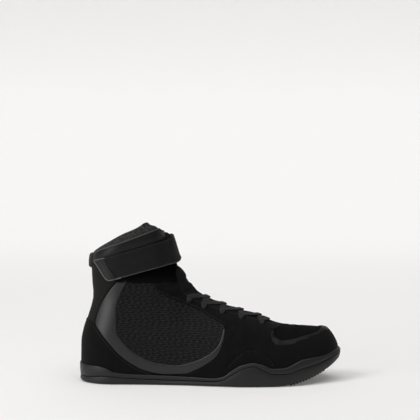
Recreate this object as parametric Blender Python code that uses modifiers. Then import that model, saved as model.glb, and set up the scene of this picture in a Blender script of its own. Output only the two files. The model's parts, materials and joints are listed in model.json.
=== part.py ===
"""High-top boxing shoe for the right foot.

The toe points along +X, the lateral side faces -Y and the sole stands on Z = 0.
Tables and functions work in millimetres, and meshes are made in metres.
"""
import math
from collections import namedtuple
from functools import lru_cache

import bmesh
import bpy
import numpy as np

MM = 0.001

# Driving dimensions of the last and its pieces
TOE_SHIFT = 8.0          # how far the toe turns to the medial side
AXIS_SHIFT = 0.3         # moves the last sideways so that the sole is centred on Y = 0
WALL = 2.0               # upper, textile with its lining
GAP = 0.3                # between pieces that touch
PANEL_GAP = 0.3          # between the upper and the panels on it
OVERLAY = 1.0            # suede, film and leather panels
PLATE = 4.5              # outsole under the foot
RAND = 2.1               # rubber strip round the upper
RAND_CLEAR = 1.2         # from the rand up to the panels
INSOLE = 3.5
INSOLE_CLEAR = 1.0       # from the insole's edge to the upper
TONGUE = 3.2
CUFF = 2.8
STRAP = 2.4
STRAP_GAP = 0.6
STRAP_LIFT = 2.6         # the strap bridges the tongue at the front
HEEL_TAB = 2.0
TONGUE_UNDER = 9.0       # the tongue reaches this far under each side of the throat
TONGUE_LEAST = 9.0       # its least half width before that
TONGUE_FREE = 1.6        # above the strap it is narrower than the throat
TONGUE_CLEAR = 0.7       # from the upper's inside to the tongue
CUFF_CLEAR = 0.6
LACE_WIDTH = 6.0
LACE = 1.5

# Shape of the last between its sections
HEEL_ROUND = 36.0        # length of the rounding at the back of the heel
TOE_START = 80.0         # X where the toe outline begins to turn in
TOE_POWERS = (2.4, 2.1)
ARCH_POWERS = (2.4, 1.9)
FEATHER_TUCK = 0.03      # the upper turns in under the foot
SAG_RINGS = 2.2          # rings over which the sole's own curve fades out
LEG_RINGS = (1.0, 7.0)   # rings over which foot widths give way to leg widths
LEG_FADE = (-60.0, 40.0)  # X range over which the leg gives way to the foot

LATERAL = -1
MEDIAL = 1

# Near-level sections of the last, from the feather edge up to the cuff. Each runs from the
# heel curve to the ridge over toe, instep and shin. leg_half is the half width of the ankle
# there, throat the half opening of the throat, measured along the skin.
Ring = namedtuple("Ring", "place back_x back_z ridge_x ridge_z leg_half throat")
RINGS = [
    Ring("feather", -141.4, 6.0, 141.8, 28.0, 31.0, 0.0),
    Ring("rand", -142.4, 21.0, 142.6, 36.5, 31.5, 0.0),
    Ring("toe_top", -142.2, 42.0, 129.5, 57.0, 31.5, 0.0),
    Ring("vamp", -139.8, 57.0, 108.0, 59.2, 31.0, 0.0),
    Ring("throat_front", -137.0, 66.0, 83.0, 61.0, 31.0, 13.0),
    Ring("lower_lace", -134.4, 74.5, 53.0, 70.0, 31.0, 13.5),
    Ring("instep", -132.0, 82.0, 18.0, 81.0, 31.0, 13.5),
    Ring("upper_lace", -130.2, 90.0, -11.0, 94.0, 31.0, 13.5),
    Ring("bend", -129.6, 98.0, -26.5, 108.0, 31.5, 14.0),
    Ring("strap_lower", -130.4, 106.5, -37.5, 131.0, 33.0, 16.0),
    Ring("strap_upper", -131.6, 131.5, -46.0, 157.0, 36.0, 18.0),
    Ring("collar", -130.0, 141.5, -50.5, 166.0, 37.5, 18.5),
    Ring("cuff", -129.2, 147.0, -55.0, 182.0, 38.0, 18.5),
]
PLACE = {ring.place: number for number, ring in enumerate(RINGS)}
THROAT_ROUND = 0.75      # rings over which the throat's front end rounds to its full width
SHIN_ABOVE = ((-62.0, 215.0), (-90.0, 330.0), (-150.0, 600.0))  # the ridge carried on upward

# Half widths of the last at the feather edge, from its centre line
PlanRow = namedtuple("PlanRow", "x lateral medial")
PLAN = [
    PlanRow(-110.0, 32.0, 31.5),
    PlanRow(-75.0, 33.0, 30.5),
    PlanRow(-35.0, 36.5, 29.0),
    PlanRow(5.0, 43.5, 33.0),
    PlanRow(40.0, 49.0, 40.5),
    PlanRow(65.0, 49.5, 44.0),
    PlanRow(90.0, 47.0, 43.0),
    PlanRow(115.0, 41.0, 39.0),
    PlanRow(143.0, 33.0, 33.0),
]

# Heights along the side of the sole: top of the rand, groove under it, walking surface
SoleRow = namedtuple("SoleRow", "x rand_top groove bottom")
SOLE = [
    SoleRow(-145.0, 21.5, 7.2, 1.2),
    SoleRow(-136.0, 20.0, 7.2, 0.0),
    SoleRow(-122.0, 19.8, 8.4, 0.0),
    SoleRow(-114.0, 18.2, 8.9, 0.0),
    SoleRow(-103.0, 13.2, 8.2, 0.0),
    SoleRow(-88.0, 11.6, 7.0, 0.0),
    SoleRow(-32.0, 10.0, 5.5, 0.0),
    SoleRow(4.0, 8.8, 5.3, 0.0),
    SoleRow(14.0, 10.8, 6.9, 0.0),
    SoleRow(23.0, 17.2, 12.5, 0.0),
    SoleRow(33.0, 23.2, 18.4, 0.0),
    SoleRow(46.0, 25.8, 22.0, 0.0),
    SoleRow(57.0, 23.4, 17.6, 0.0),
    SoleRow(67.0, 19.6, 13.6, 0.0),
    SoleRow(78.0, 19.8, 13.2, 0.5),
    SoleRow(100.0, 28.0, 18.6, 5.0),
    SoleRow(123.0, 30.2, 24.2, 13.0),
    SoleRow(144.0, 36.8, 32.8, 23.4),
]

# Edge lines of the overlays in the side view, X and Z. The crescent frames the mesh: its edges run
# from under the strap down behind the mesh, along the rand and up in front of it.
BAND_OUTER = ((-101.0, 111.0), (-109.1, 101.4), (-116.9, 89.4), (-122.9, 75.0), (-124.6, 66.0),
              (-118.0, 55.0), (-109.1, 44.2), (-99.2, 33.2), (-85.0, 22.6), (-68.5, 14.8), (-48.0, 12.4),
              (-27.0, 12.8), (-15.9, 16.7), (-3.9, 23.3), (7.1, 32.1), (12.6, 42.0), (15.9, 53.0), (16.8, 60.5))
BAND_INNER = ((-89.6, 111.0), (-97.0, 97.0), (-101.2, 81.0), (-101.2, 61.0), (-93.8, 46.4), (-79.5, 33.2),
              (-59.8, 24.4), (-37.8, 21.7), (-19.2, 25.6), (-2.7, 33.2), (8.3, 43.0), (12.6, 53.0),
              (13.6, 59.5))
COUNTER_STEP = ((-136.0, 68.7), (-124.6, 66.0))
COUNTER_FOOT = (-68.5, 14.8)     # the counter's lower front corner, on the crescent
WRAP_FOOT = (-27.0, 12.8)        # the wrap's lower rear corner, on the crescent
EYESTAY_SEAM = ((-88.4, 111.6), (-61.0, 100.0), (-31.0, 87.0), (-10.0, 77.5), (4.0, 69.5), (14.6, 65.0))
WRAP_TOP_X = (-96.0, -20.0)      # from back to front, along the strap
OVER_THROAT = ((82.0, 90.0), (20.0, 130.0))   # points in the air over the throat
EYESTAY_FRONT = ((66.4, 56.8), (70.4, 57.6), (75.4, 59.6), (78.0, 64.0))
FILM_OUTER = ((67.4, 55.6), (69.4, 49.2), (74.6, 44.8), (82.0, 44.2), (93.4, 45.4), (106.0, 48.6),
              (117.0, 52.4), (124.0, 54.8), (128.4, 57.2), (129.0, 62.0))
FILM_INNER = ((71.0, 56.0), (73.4, 51.4), (78.0, 49.6), (93.0, 51.0), (104.0, 53.6), (111.0, 55.6),
              (117.0, 57.2), (120.6, 59.2), (121.0, 62.0))
CUFF_TOP = ((-131.0, 142.5), (-110.0, 153.0), (-98.0, 159.6), (-81.0, 167.5), (-68.0, 174.6),
            (-57.0, 169.6), (-48.0, 163.0))
SIDE_REACH = 90.0        # half depth of the cutters

STRAP_END = ((-112.0, 9.0), (-125.0, 10.0))       # X of the slanted lateral end, ring by ring
STRAP_SEAM = ((-98.8, 113.0), (-113.8, 136.0))    # inner edge of the leather end, X and Z
STRAP_ANCHOR_X = -112.0  # where the strap is sewn to the medial side
HEEL_TAB_HALF = 8.0
HEEL_TAB_HEIGHTS = (124.0, 141.0)

# Rings of the tongue, of the place where it leaves the throat, and of the cuff
TONGUE_LOW = (3.8, 9.0)
TONGUE_HIGH = (9.5, 12.0)
TONGUE_NARROWS = (9.6, 10.4)
CUFF_ROWS = (10.5, 11.0, 11.5, 12.0)
CUFF_COLUMNS = 11
UNDER_CUFF = ((-160.0, 20.0), (-20.0, 150.0), (140.0, 90.0), (140.0, 20.0))

EYELET_RINGS = (4.75, 5.35, 6.0, 6.75, 7.55, 8.35)
EYELET_EDGE = 6.0        # from the throat's edge to the eyelet
LACE_CLEAR = 2.4         # lace above the skin, over the eyestay
LACE_LIFT = 0.35         # each run lies a little over the one that it crosses
LACE_OVERLAP = 0.9       # a run ends past the eyelet, the next one starts before it

COLUMNS = 17             # faces along each side of the upper
SOLE_COLUMNS = 2 * COLUMNS  # the sole has every column of the upper, and one between
UPPER_ROWS = (0, 0.5, 1, 1.4, 1.8, 2.3, 2.9, 3.5, 4, 4.15, 4.5, 5.2, 6, 6.9, 7.8, 9, 10, 11)


def smooth_curve(knots, values, at):
    """Shape-preserving cubic through the given values, carried on straight past both ends."""
    knots = np.asarray(knots, float)
    values = np.asarray(values, float)
    at = np.asarray(at, float)
    step = np.diff(knots)
    chord = np.diff(values) / step
    slope = np.concatenate(([chord[0]], np.zeros(len(knots) - 2), [chord[-1]]))
    same_way = chord[:-1] * chord[1:] > 0
    before, after = chord[:-1][same_way], chord[1:][same_way]
    slope[1:-1][same_way] = 2 * before * after / (before + after)
    cell = np.clip(np.searchsorted(knots, at) - 1, 0, len(step) - 1)
    width = step[cell]
    t = np.clip((at - knots[cell]) / width, 0, 1)
    inside = (values[cell] * (1 + 2 * t) * (1 - t) ** 2 + values[cell + 1] * t * t * (3 - 2 * t)
              + width * (slope[cell] * t * (1 - t) ** 2 - slope[cell + 1] * t * t * (1 - t)))
    past = np.minimum(at - knots[0], 0) * slope[0] + np.maximum(at - knots[-1], 0) * slope[-1]
    return inside + past


def column(table, x_name, value_name, at):
    """One column of a table, read as a smooth curve over another."""
    return smooth_curve([getattr(row, x_name) for row in table],
                        [getattr(row, value_name) for row in table], at)


def smoothstep(low, high, at):
    t = np.clip((np.asarray(at, float) - low) / (high - low), 0, 1)
    return t * t * (3 - 2 * t)


@lru_cache(maxsize=None)
def ring_at(v):
    """The section of the last at ring number v, which may lie between two rows."""
    numbers = range(len(RINGS))
    values = [float(smooth_curve(numbers, [getattr(ring, name) for ring in RINGS], v))
              for name in Ring._fields[1:]]
    return Ring("between", *values)


def floor_height(x):
    """Top of the outsole inside the shoe."""
    return column(SOLE, "x", "bottom", x) + PLATE


def centre_line(x):
    """Sideways place of the ridge, which turns to the medial side at the toe."""
    return AXIS_SHIFT + TOE_SHIFT * smoothstep(10.0, 150.0, x)


@lru_cache(maxsize=None)
def ridge_samples():
    """X and Z along the ridge from shin to toe, in order of growing X."""
    numbers = np.linspace(PLACE["rand"], len(RINGS) - 1, 400)
    points = [(ring_at(v).ridge_x, ring_at(v).ridge_z) for v in numbers]
    points += SHIN_ABOVE
    return np.array(points[::-1])


def ridge_height(x):
    samples = ridge_samples()
    return np.interp(x, samples[:, 0], samples[:, 1])


def half_width(x, z, v, side):
    """Half width of the last at a point of the side view on ring v."""
    ring = ring_at(v)
    plan = column(PLAN, "x", "lateral" if side == LATERAL else "medial", x)
    leg = smoothstep(*LEG_RINGS, v) * (1 - smoothstep(*LEG_FADE, x))
    body = plan + (ring.leg_half - plan) * leg
    into_heel = np.clip((x - ring.back_x) / HEEL_ROUND, 0, 1)
    heel = np.sqrt(1 - (1 - into_heel) ** 2)
    toe_end = ring.ridge_x if v <= 1 else RINGS[1].ridge_x + 6.0 * (v - 1)
    into_toe = np.clip((x - TOE_START) / (toe_end - TOE_START), 0, 1)
    toe = (1 - into_toe ** TOE_POWERS[0]) ** (1 / TOE_POWERS[1])
    base = floor_height(x)
    rise = np.clip((z - base) / np.maximum(ridge_height(x) - base, 0.1), 0, 1)
    arch = (1 - rise ** ARCH_POWERS[0]) ** (1 / ARCH_POWERS[1])
    tuck = 1 - FEATHER_TUCK * (1 - min(v, 1)) ** 2
    return body * heel * toe * arch * tuck


@lru_cache(maxsize=None)
def half_ring(v, side):
    """Points of one side of a ring from heel to ridge, and the length along the skin."""
    ring = ring_at(v)
    along = (1 - np.cos(np.linspace(0, math.pi, 241))) / 2
    x = ring.back_x + (ring.ridge_x - ring.back_x) * along
    level = ring.back_z + (ring.ridge_z - ring.back_z) * along
    lowest = RINGS[0]
    chord = lowest.back_z + (lowest.ridge_z - lowest.back_z) * along
    fade = max(0.0, 1 - v / SAG_RINGS) ** 2
    z = level - fade * (chord - floor_height(x))
    width = half_width(x, z, v, side)
    width[0] = 0
    width[-1] = 0
    points = np.stack((x, centre_line(x) + side * width, z), axis=1)
    length = np.concatenate(([0], np.cumsum(np.linalg.norm(np.diff(points, axis=0), axis=1))))
    return points, length


def along_ring(v, side, distance):
    """Point of the skin on ring v at a distance from the heel, along the skin."""
    points, length = half_ring(v, side)
    return np.array([np.interp(distance, length, points[:, axis]) for axis in range(3)])


def ring_length(v, side):
    return half_ring(v, side)[1][-1]


def throat_half(v):
    """Half opening of the throat on ring v, rounded at its front end."""
    front = PLACE["throat_front"]
    if v <= front:
        return 0.0
    inward = 1 - min((v - front) / THROAT_ROUND, 1)
    return ring_at(v).throat * math.sqrt(1 - inward * inward)


def skin(s, v, side):
    """Point of the upper: s runs from the heel, 0, to the ridge or the throat's edge, 1."""
    return along_ring(v, side, s * (ring_length(v, side) - throat_half(v)))


def across_ridge(distance, v):
    """Point of the skin at a signed distance from the ridge, lateral side negative."""
    side = LATERAL if distance < 0 else MEDIAL
    return along_ring(v, side, ring_length(v, side) - abs(distance))


def column_places(count):
    """Places from heel to ridge, closer together at both round ends."""
    u = np.linspace(0, 1, count + 1)
    return 0.5 * u + 0.25 * (1 - np.cos(math.pi * u))


def clear_scene():
    for item in list(bpy.data.objects):
        bpy.data.objects.remove(item, do_unlink=True)


def collection_named(name):
    group = bpy.data.collections.new(name)
    bpy.context.scene.collection.children.link(group)
    return group


def finish_material(name, colour, roughness):
    material = bpy.data.materials.new(name)
    material.use_nodes = True
    shader = material.node_tree.nodes["Principled BSDF"]
    shader.inputs["Base Color"].default_value = (*colour, 1.0)
    shader.inputs["Roughness"].default_value = roughness
    shader.inputs["Metallic"].default_value = 0.0
    return material


def add_object(name, mesh, group, material=None):
    item = bpy.data.objects.new(name, mesh)
    group.objects.link(item)
    if material:
        mesh.materials.append(material)
    return item


def mesh_from(bm, name):
    bmesh.ops.remove_doubles(bm, verts=bm.verts, dist=0.00002)
    mesh = bpy.data.meshes.new(name)
    bm.to_mesh(mesh)
    bm.free()
    mesh.shade_smooth()
    return mesh


def grid_mesh(name, rows, closed_rows=False, closed_columns=False):
    """Surface over rows of points in millimetres. Its triangles are set here, so that a panel
    laid on the same grid keeps its distance."""
    bm = bmesh.new()
    grid = [[bm.verts.new([c * MM for c in point]) for point in row] for row in rows]
    row_count = len(grid) if closed_columns else len(grid) - 1
    for i in range(row_count):
        row, above = grid[i], grid[(i + 1) % len(grid)]
        count = len(row) if closed_rows else len(row) - 1
        for j in range(count):
            k = (j + 1) % len(row)
            bm.faces.new((row[j], row[k], above[k], above[j]))
    bmesh.ops.triangulate(bm, faces=bm.faces)
    return mesh_from(bm, name)


def around_last(row_numbers, count=COLUMNS):
    """Rows of points round the open upper: medial throat, heel, lateral throat."""
    places = column_places(count)
    rows = []
    for v in row_numbers:
        medial = [skin(s, v, MEDIAL) for s in places[::-1]]
        lateral = [skin(s, v, LATERAL) for s in places[1:]]
        rows.append(medial + lateral)
    return rows


def push(item, distance):
    """Move a surface outward along its normals, by a distance in millimetres."""
    move = item.modifiers.new("Offset", "DISPLACE")
    move.mid_level = 0.0
    move.strength = distance * MM


def thicken(item, thickness, outward):
    wall = item.modifiers.new("Wall", "SOLIDIFY")
    wall.thickness = thickness * MM
    wall.offset = 1.0 if outward else -1.0
    wall.use_even_offset = True
    wall.use_quality_normals = True


def cut(item, cutter, operation):
    tool = item.modifiers.new("Cut", "BOOLEAN")
    tool.operation = operation
    tool.solver = "EXACT"
    tool.object = cutter


def side_prism(name, outline, group, near=-SIDE_REACH, far=SIDE_REACH):
    """Cutter: a side-view outline carried across the shoe from Y near to Y far."""
    bm = bmesh.new()
    face = bm.faces.new([bm.verts.new((x * MM, near * MM, z * MM)) for x, z in outline])
    pulled = bmesh.ops.extrude_face_region(bm, geom=[face])["geom"]
    moved = [vert for vert in pulled if isinstance(vert, bmesh.types.BMVert)]
    bmesh.ops.translate(bm, verts=moved, vec=(0, (far - near) * MM, 0))
    bmesh.ops.recalc_face_normals(bm, faces=bm.faces)
    mesh = bpy.data.meshes.new(name)
    bm.to_mesh(mesh)
    bm.free()
    item = add_object(name, mesh, group)
    item.hide_render = True
    item.display_type = "WIRE"
    return item


def rand_line(first, last, count):
    """Side-view line a little above the rand's top edge."""
    xs = np.linspace(first, last, count)
    return list(zip(xs, column(SOLE, "x", "rand_top", xs) + RAND_CLEAR))


def smooth_line(points, count):
    """A smooth line through a few side-view points, with even steps along their chords."""
    points = np.asarray(points, float)
    walked = np.concatenate(([0], np.cumsum(np.linalg.norm(np.diff(points, axis=0), axis=1))))
    even = np.linspace(0, walked[-1], count)
    return np.stack([smooth_curve(walked, points[:, axis], even) for axis in range(2)], axis=1)


def stretch(line, start, stop):
    """The part of a line between its points nearest to two given ones, in that direction."""
    first, last = (int(np.argmin(np.linalg.norm(line - end, axis=1))) for end in (start, stop))
    return line[first:last + 1] if first <= last else line[last:first + 1][::-1]


def moved_out(line, distance):
    """A line moved to its right in the side view, so that a neighbour keeps clear of it."""
    ahead = np.gradient(line, axis=0)
    right = np.stack((ahead[:, 1], -ahead[:, 0]), axis=1)
    return line + distance * right / np.linalg.norm(right, axis=1, keepdims=True)


def faceted_skin(s, v, side):
    """Point on the straight line between two columns of the upper's grid."""
    places = column_places(COLUMNS)
    cell = min(int(np.searchsorted(places, s, side="right")) - 1, COLUMNS - 1)
    t = (s - places[cell]) / (places[cell + 1] - places[cell])
    return skin(places[cell], v, side) * (1 - t) + skin(places[cell + 1], v, side) * t


def sole_point(s, side, height, outward):
    """Point of the sole's wall: beside the upper at place s, at a height, off the skin."""
    low, high = 0.0, 2.0
    if height > faceted_skin(s, low, side)[2]:
        for _ in range(20):
            middle = (low + high) / 2
            if faceted_skin(s, middle, side)[2] < height:
                low = middle
            else:
                high = middle
    point = faceted_skin(s, low, side)
    step = 0.012
    if s < step:
        normal = np.array((-1.0, 0.0))
    elif s > 1 - step:
        normal = np.array((1.0, 0.0))
    else:
        along = (faceted_skin(s + step, low, side) - faceted_skin(s - step, low, side))[:2]
        normal = np.array((along[1], -along[0])) * -side
        normal /= np.linalg.norm(normal)
    return np.array((point[0] + normal[0] * outward, point[1] + normal[1] * outward, height))


def sole_ring(height_of, outward):
    """Closed ring round the sole: lateral side from heel to toe, then medial side back."""
    places = column_places(SOLE_COLUMNS)
    ring = []
    for side, order in ((LATERAL, places), (MEDIAL, places[-2:0:-1])):
        for s in order:
            point = skin(s, 0.0, side)
            for _ in range(3):
                point = sole_point(s, side, float(height_of(point[0])), outward)
            ring.append(point)
    return ring


def plate_mesh(name, rings):
    """Solid from rings given from the inside top round to the outside bottom, closed by strips."""
    bm = bmesh.new()
    grid = [[bm.verts.new([c * MM for c in point]) for point in ring] for ring in rings]
    count = len(grid[0])
    for ring, below in zip(grid[:-1], grid[1:]):
        for j in range(count):
            k = (j + 1) % count
            bm.faces.new((ring[j], below[j], below[k], ring[k]))
    half = count // 2
    for ring, up in ((grid[0], True), (grid[-1], False)):
        for j in range(half):
            corners = [ring[j], ring[j + 1], ring[count - j - 1], ring[-j]]
            unique = list(dict.fromkeys(corners))
            bm.faces.new(unique if up else unique[::-1])
    return mesh_from(bm, name)


def sole_height(name, extra=0.0):
    return lambda x: column(SOLE, "x", name, x) + extra


def between(one, other):
    """Height half way between two others."""
    return lambda x: (one(x) + other(x)) / 2


def build_outsole(parts, rubber):
    wall_out = GAP + RAND
    lip = 3.0
    rings = [
        sole_ring(lambda x: floor_height(x) - GAP, GAP),
        sole_ring(between(floor_height, sole_height("groove")), GAP),
        sole_ring(sole_height("groove"), GAP),
        sole_ring(sole_height("groove"), wall_out),
        sole_ring(between(sole_height("groove"), sole_height("bottom", lip)), wall_out + 0.4),
        sole_ring(sole_height("bottom", lip), wall_out + 0.6),
        sole_ring(sole_height("bottom", 0.9), wall_out - 0.6),
        sole_ring(sole_height("bottom"), wall_out - 3.5),
    ]
    add_object("outsole", plate_mesh("outsole", rings), parts, rubber)


def build_rand(parts, rubber):
    wall_out = GAP + RAND
    rings = [
        sole_ring(sole_height("rand_top", -1.3), wall_out),
        sole_ring(sole_height("rand_top"), wall_out - 0.9),
        sole_ring(sole_height("rand_top"), GAP),
        sole_ring(between(sole_height("rand_top"), sole_height("groove")), GAP),
        sole_ring(sole_height("groove", GAP), GAP),
        sole_ring(sole_height("groove", GAP), wall_out),
    ]
    mesh = grid_mesh("midsole_rand", rings, closed_rows=True, closed_columns=True)
    add_object("midsole_rand", mesh, parts, rubber)


def build_insole(parts, foam):
    edge = -(WALL + INSOLE_CLEAR)
    rings = [
        sole_ring(lambda x: floor_height(x) + INSOLE, edge - 1.0),
        sole_ring(lambda x: floor_height(x) + INSOLE - 1.0, edge),
        sole_ring(lambda x: floor_height(x) + GAP, edge),
    ]
    add_object("insole", plate_mesh("insole", rings), parts, foam)


def build_upper(parts, textile):
    item = add_object("upper", grid_mesh("upper", around_last(UPPER_ROWS)), parts, textile)
    thicken(item, WALL, outward=False)


def overlay(name, outline, parts, cutters, material, near=-SIDE_REACH, far=SIDE_REACH, thickness=OVERLAY):
    """A panel laid on the upper: the upper's own form, cut out by a side-view outline."""
    item = add_object(name, grid_mesh(name, around_last(UPPER_ROWS)), parts, material)
    push(item, PANEL_GAP)
    thicken(item, thickness, outward=True)
    cut(item, side_prism(name + "_outline", outline, cutters, near, far), "INTERSECT")
    return item


def build_overlays(parts, cutters, suede, film):
    clear = 0.5
    heel_end = -160.0
    toe_end = 160.0
    above = 75.0
    outer = smooth_line(BAND_OUTER, 36)
    inner = smooth_line(BAND_INNER, 30)
    beside_band = moved_out(outer, clear)
    counter_edge = stretch(beside_band, COUNTER_STEP[1], COUNTER_FOOT)
    counter = [(heel_end, COUNTER_STEP[0][1]), COUNTER_STEP[0], *counter_edge,
               *rand_line(counter_edge[-1][0], heel_end, 14)]
    overlay("heel_counter", counter, parts, cutters, suede)
    band = [*outer, *inner[::-1]]
    for side, word in ((LATERAL, "lateral"), (MEDIAL, "medial")):
        near, far = (-SIDE_REACH, 0.0) if side == LATERAL else (0.0, SIDE_REACH)
        overlay("quarter_band_" + word, band, parts, cutters, film, near, far)

    film_outer = smooth_line(FILM_OUTER, 18)
    film_inner = smooth_line(FILM_INNER, 15)
    strip = [*film_outer, (film_outer[-1][0], above), (film_inner[-1][0], above), *film_inner[::-1]]
    overlay("vamp_film", strip, parts, cutters, film)
    film_side = moved_out(film_outer, clear)
    wrap_rear = stretch(beside_band, BAND_OUTER[-1], WRAP_FOOT)
    wrap = [*strap_edge_line(*WRAP_TOP_X), *EYESTAY_SEAM, *wrap_rear,
            *rand_line(wrap_rear[-1][0], toe_end, 24), (toe_end, above), (film_side[-1][0], above),
            *film_side[::-1], *EYESTAY_FRONT, *OVER_THROAT]
    overlay("suede_wrap", wrap, parts, cutters, suede)


def strap_edge_line(first_x, last_x):
    """Side-view line just under the strap, from front to back."""
    ring = RINGS[PLACE["strap_lower"]]
    slope = (ring.ridge_z - ring.back_z) / (ring.ridge_x - ring.back_x)
    return [(x, ring.back_z + slope * (x - ring.back_x) - 1.0) for x in (last_x, first_x)]


def build_tongue(parts, cutters, textile):
    rows = []
    for v in np.concatenate((np.linspace(*TONGUE_LOW, 12), np.linspace(*TONGUE_HIGH, 6))):
        free = smoothstep(*TONGUE_NARROWS, v)
        half = max(throat_half(v), TONGUE_LEAST) + TONGUE_UNDER * (1 - free) - TONGUE_FREE * free
        rows.append([across_ridge(a, v) for a in np.linspace(-half, half, 9)])
    item = add_object("tongue", grid_mesh("tongue", rows), parts, textile)
    push(item, -(WALL + TONGUE_CLEAR))
    thicken(item, TONGUE, outward=False)
    cut(item, cuff_cutter("tongue_top", cutters), "INTERSECT")


def cuff_cutter(name, cutters):
    top = smooth_line(CUFF_TOP, 13)
    (back, low), front = UNDER_CUFF[0], UNDER_CUFF[1:]
    return side_prism(name, [(back, CUFF_TOP[0][1]), *top, *front, (back, low)], cutters)


def build_cuff(parts, cutters, knit):
    rows = around_last(CUFF_ROWS, CUFF_COLUMNS)
    item = add_object("collar_cuff", grid_mesh("collar_cuff", rows), parts, knit)
    push(item, -(WALL + CUFF_CLEAR))
    thicken(item, CUFF, outward=False)
    cut(item, cuff_cutter("cuff_top", cutters), "INTERSECT")


def strap_rows():
    """Rows of the strap from its lateral end over the shin to the medial anchor."""
    rows = []
    (low_x, low_v), (high_x, high_v) = STRAP_END
    for v in np.linspace(PLACE["strap_lower"], PLACE["strap_upper"], 5):
        end_x = low_x + (high_x - low_x) * (v - low_v) / (high_v - low_v)
        stretches = []
        for side, stop_x in ((LATERAL, end_x), (MEDIAL, STRAP_ANCHOR_X)):
            points, length = half_ring(float(v), side)
            start = np.interp(stop_x, points[:, 0], length)
            stretches.append([along_ring(float(v), side, d) for d in np.linspace(start, length[-1], 13)])
        row = stretches[0] + stretches[1][-2::-1]
        ridge_x = stretches[0][-1][0]
        rows.append([point + np.array((STRAP_LIFT * smoothstep(ridge_x - 26.0, ridge_x, point[0]), 0, 0))
                     for point in row])
    return rows


def build_strap(parts, cutters, webbing, leather):
    strap = add_object("ankle_strap", grid_mesh("ankle_strap", strap_rows()), parts, webbing)
    push(strap, STRAP_GAP)
    thicken(strap, STRAP, outward=True)
    end = add_object("strap_end", grid_mesh("strap_end", strap_rows()), parts, leather)
    push(end, STRAP_GAP + STRAP + GAP)
    thicken(end, OVERLAY, outward=True)
    (low_x, low_z), (high_x, high_z) = STRAP_SEAM
    rise = high_z - low_z
    lean = high_x - low_x
    behind = -160.0
    outline = [(behind, low_z - rise), (low_x - lean, low_z - rise), (high_x + lean, high_z + rise),
               (behind, high_z + rise)]
    cut(end, side_prism("strap_end_outline", outline, cutters, -SIDE_REACH, 0.0), "INTERSECT")


def build_heel_tab(parts, cutters, webbing):
    low, high = HEEL_TAB_HEIGHTS
    outline = [(-160.0, low), (-100.0, low), (-100.0, high), (-160.0, high)]
    near, far = AXIS_SHIFT - HEEL_TAB_HALF, AXIS_SHIFT + HEEL_TAB_HALF
    overlay("heel_tab", outline, parts, cutters, webbing, near, far, HEEL_TAB)


def lace_run(start_v, end_v, start_side, lift):
    """Ribbon from an eyelet over the tongue to the next eyelet of the other side."""
    from_edge = throat_half(start_v) + EYELET_EDGE - LACE_OVERLAP
    to_edge = throat_half(end_v) + EYELET_EDGE + LACE_OVERLAP
    middle_rows = []
    for t in np.linspace(0, 1, 7):
        v = start_v + (end_v - start_v) * t
        distance = start_side * (from_edge * (1 - t) - to_edge * t)
        nudge = 0.02
        point = across_ridge(distance, v)
        along = across_ridge(distance, v + nudge) - across_ridge(distance, v - nudge)
        across = across_ridge(distance + 0.4, v) - across_ridge(distance - 0.4, v)
        normal = np.cross(along, across)
        normal /= -np.linalg.norm(normal)
        middle_rows.append((point, normal))
    rows = []
    for i, (point, normal) in enumerate(middle_rows):
        ahead = middle_rows[min(i + 1, len(middle_rows) - 1)][0] - middle_rows[max(i - 1, 0)][0]
        sideways = np.cross(normal, ahead)
        sideways *= LACE_WIDTH / 2 / np.linalg.norm(sideways)
        low, high = normal * (LACE_CLEAR + lift), normal * (LACE_CLEAR + lift + LACE)
        rows.append([point - sideways + low, point + sideways + low,
                     point + sideways + high, point - sideways + high])
    return rows


def ribbon_mesh(name, rows):
    """Closed ribbon over four-cornered sections."""
    bm = bmesh.new()
    grid = [[bm.verts.new([c * MM for c in point]) for point in row] for row in rows]
    for row, ahead in zip(grid[:-1], grid[1:]):
        for j in range(4):
            k = (j + 1) % 4
            bm.faces.new((row[j], row[k], ahead[k], ahead[j]))
    bm.faces.new(grid[0][::-1])
    bm.faces.new(grid[-1])
    bmesh.ops.recalc_face_normals(bm, faces=bm.faces)
    return mesh_from(bm, name)


def build_lace(parts, cutters, cotton):
    lace = None
    for number, (v, above) in enumerate(zip(EYELET_RINGS[:-1], EYELET_RINGS[1:])):
        for side in (LATERAL, MEDIAL):
            word = "lateral" if side == LATERAL else "medial"
            name = "lace" if lace is None else f"lace_run_{number}_{word}"
            lift = LACE_LIFT * (number % 2 + (2 if side == MEDIAL else 0))
            mesh = ribbon_mesh(name, lace_run(v, above, side, lift))
            if lace is None:
                lace = add_object(name, mesh, parts, cotton)
                continue
            run = add_object(name, mesh, cutters)
            run.hide_render = True
            run.display_type = "WIRE"
            cut(lace, run, "UNION")


clear_scene()
parts_group = collection_named("boxing_shoe")
cutters_group = collection_named("cutters")
black_rubber = finish_material("black_rubber", (0.030, 0.030, 0.031), 0.62)
black_textile = finish_material("black_textile", (0.010, 0.010, 0.011), 0.85)
black_suede = finish_material("black_suede", (0.009, 0.009, 0.010), 0.90)
satin_film = finish_material("satin_film", (0.022, 0.022, 0.023), 0.45)
black_webbing = finish_material("black_webbing", (0.012, 0.012, 0.013), 0.80)
black_knit = finish_material("black_knit", (0.012, 0.012, 0.012), 0.90)
insole_foam = finish_material("insole_foam", (0.016, 0.016, 0.017), 0.90)
black_cotton = finish_material("black_cotton", (0.012, 0.012, 0.012), 0.85)

build_outsole(parts_group, black_rubber)
build_rand(parts_group, black_rubber)
build_insole(parts_group, insole_foam)
build_upper(parts_group, black_textile)
build_overlays(parts_group, cutters_group, black_suede, satin_film)
build_tongue(parts_group, cutters_group, black_textile)
build_cuff(parts_group, cutters_group, black_knit)
build_strap(parts_group, cutters_group, black_webbing, satin_film)
build_heel_tab(parts_group, cutters_group, black_webbing)
build_lace(parts_group, cutters_group, black_cotton)
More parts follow.
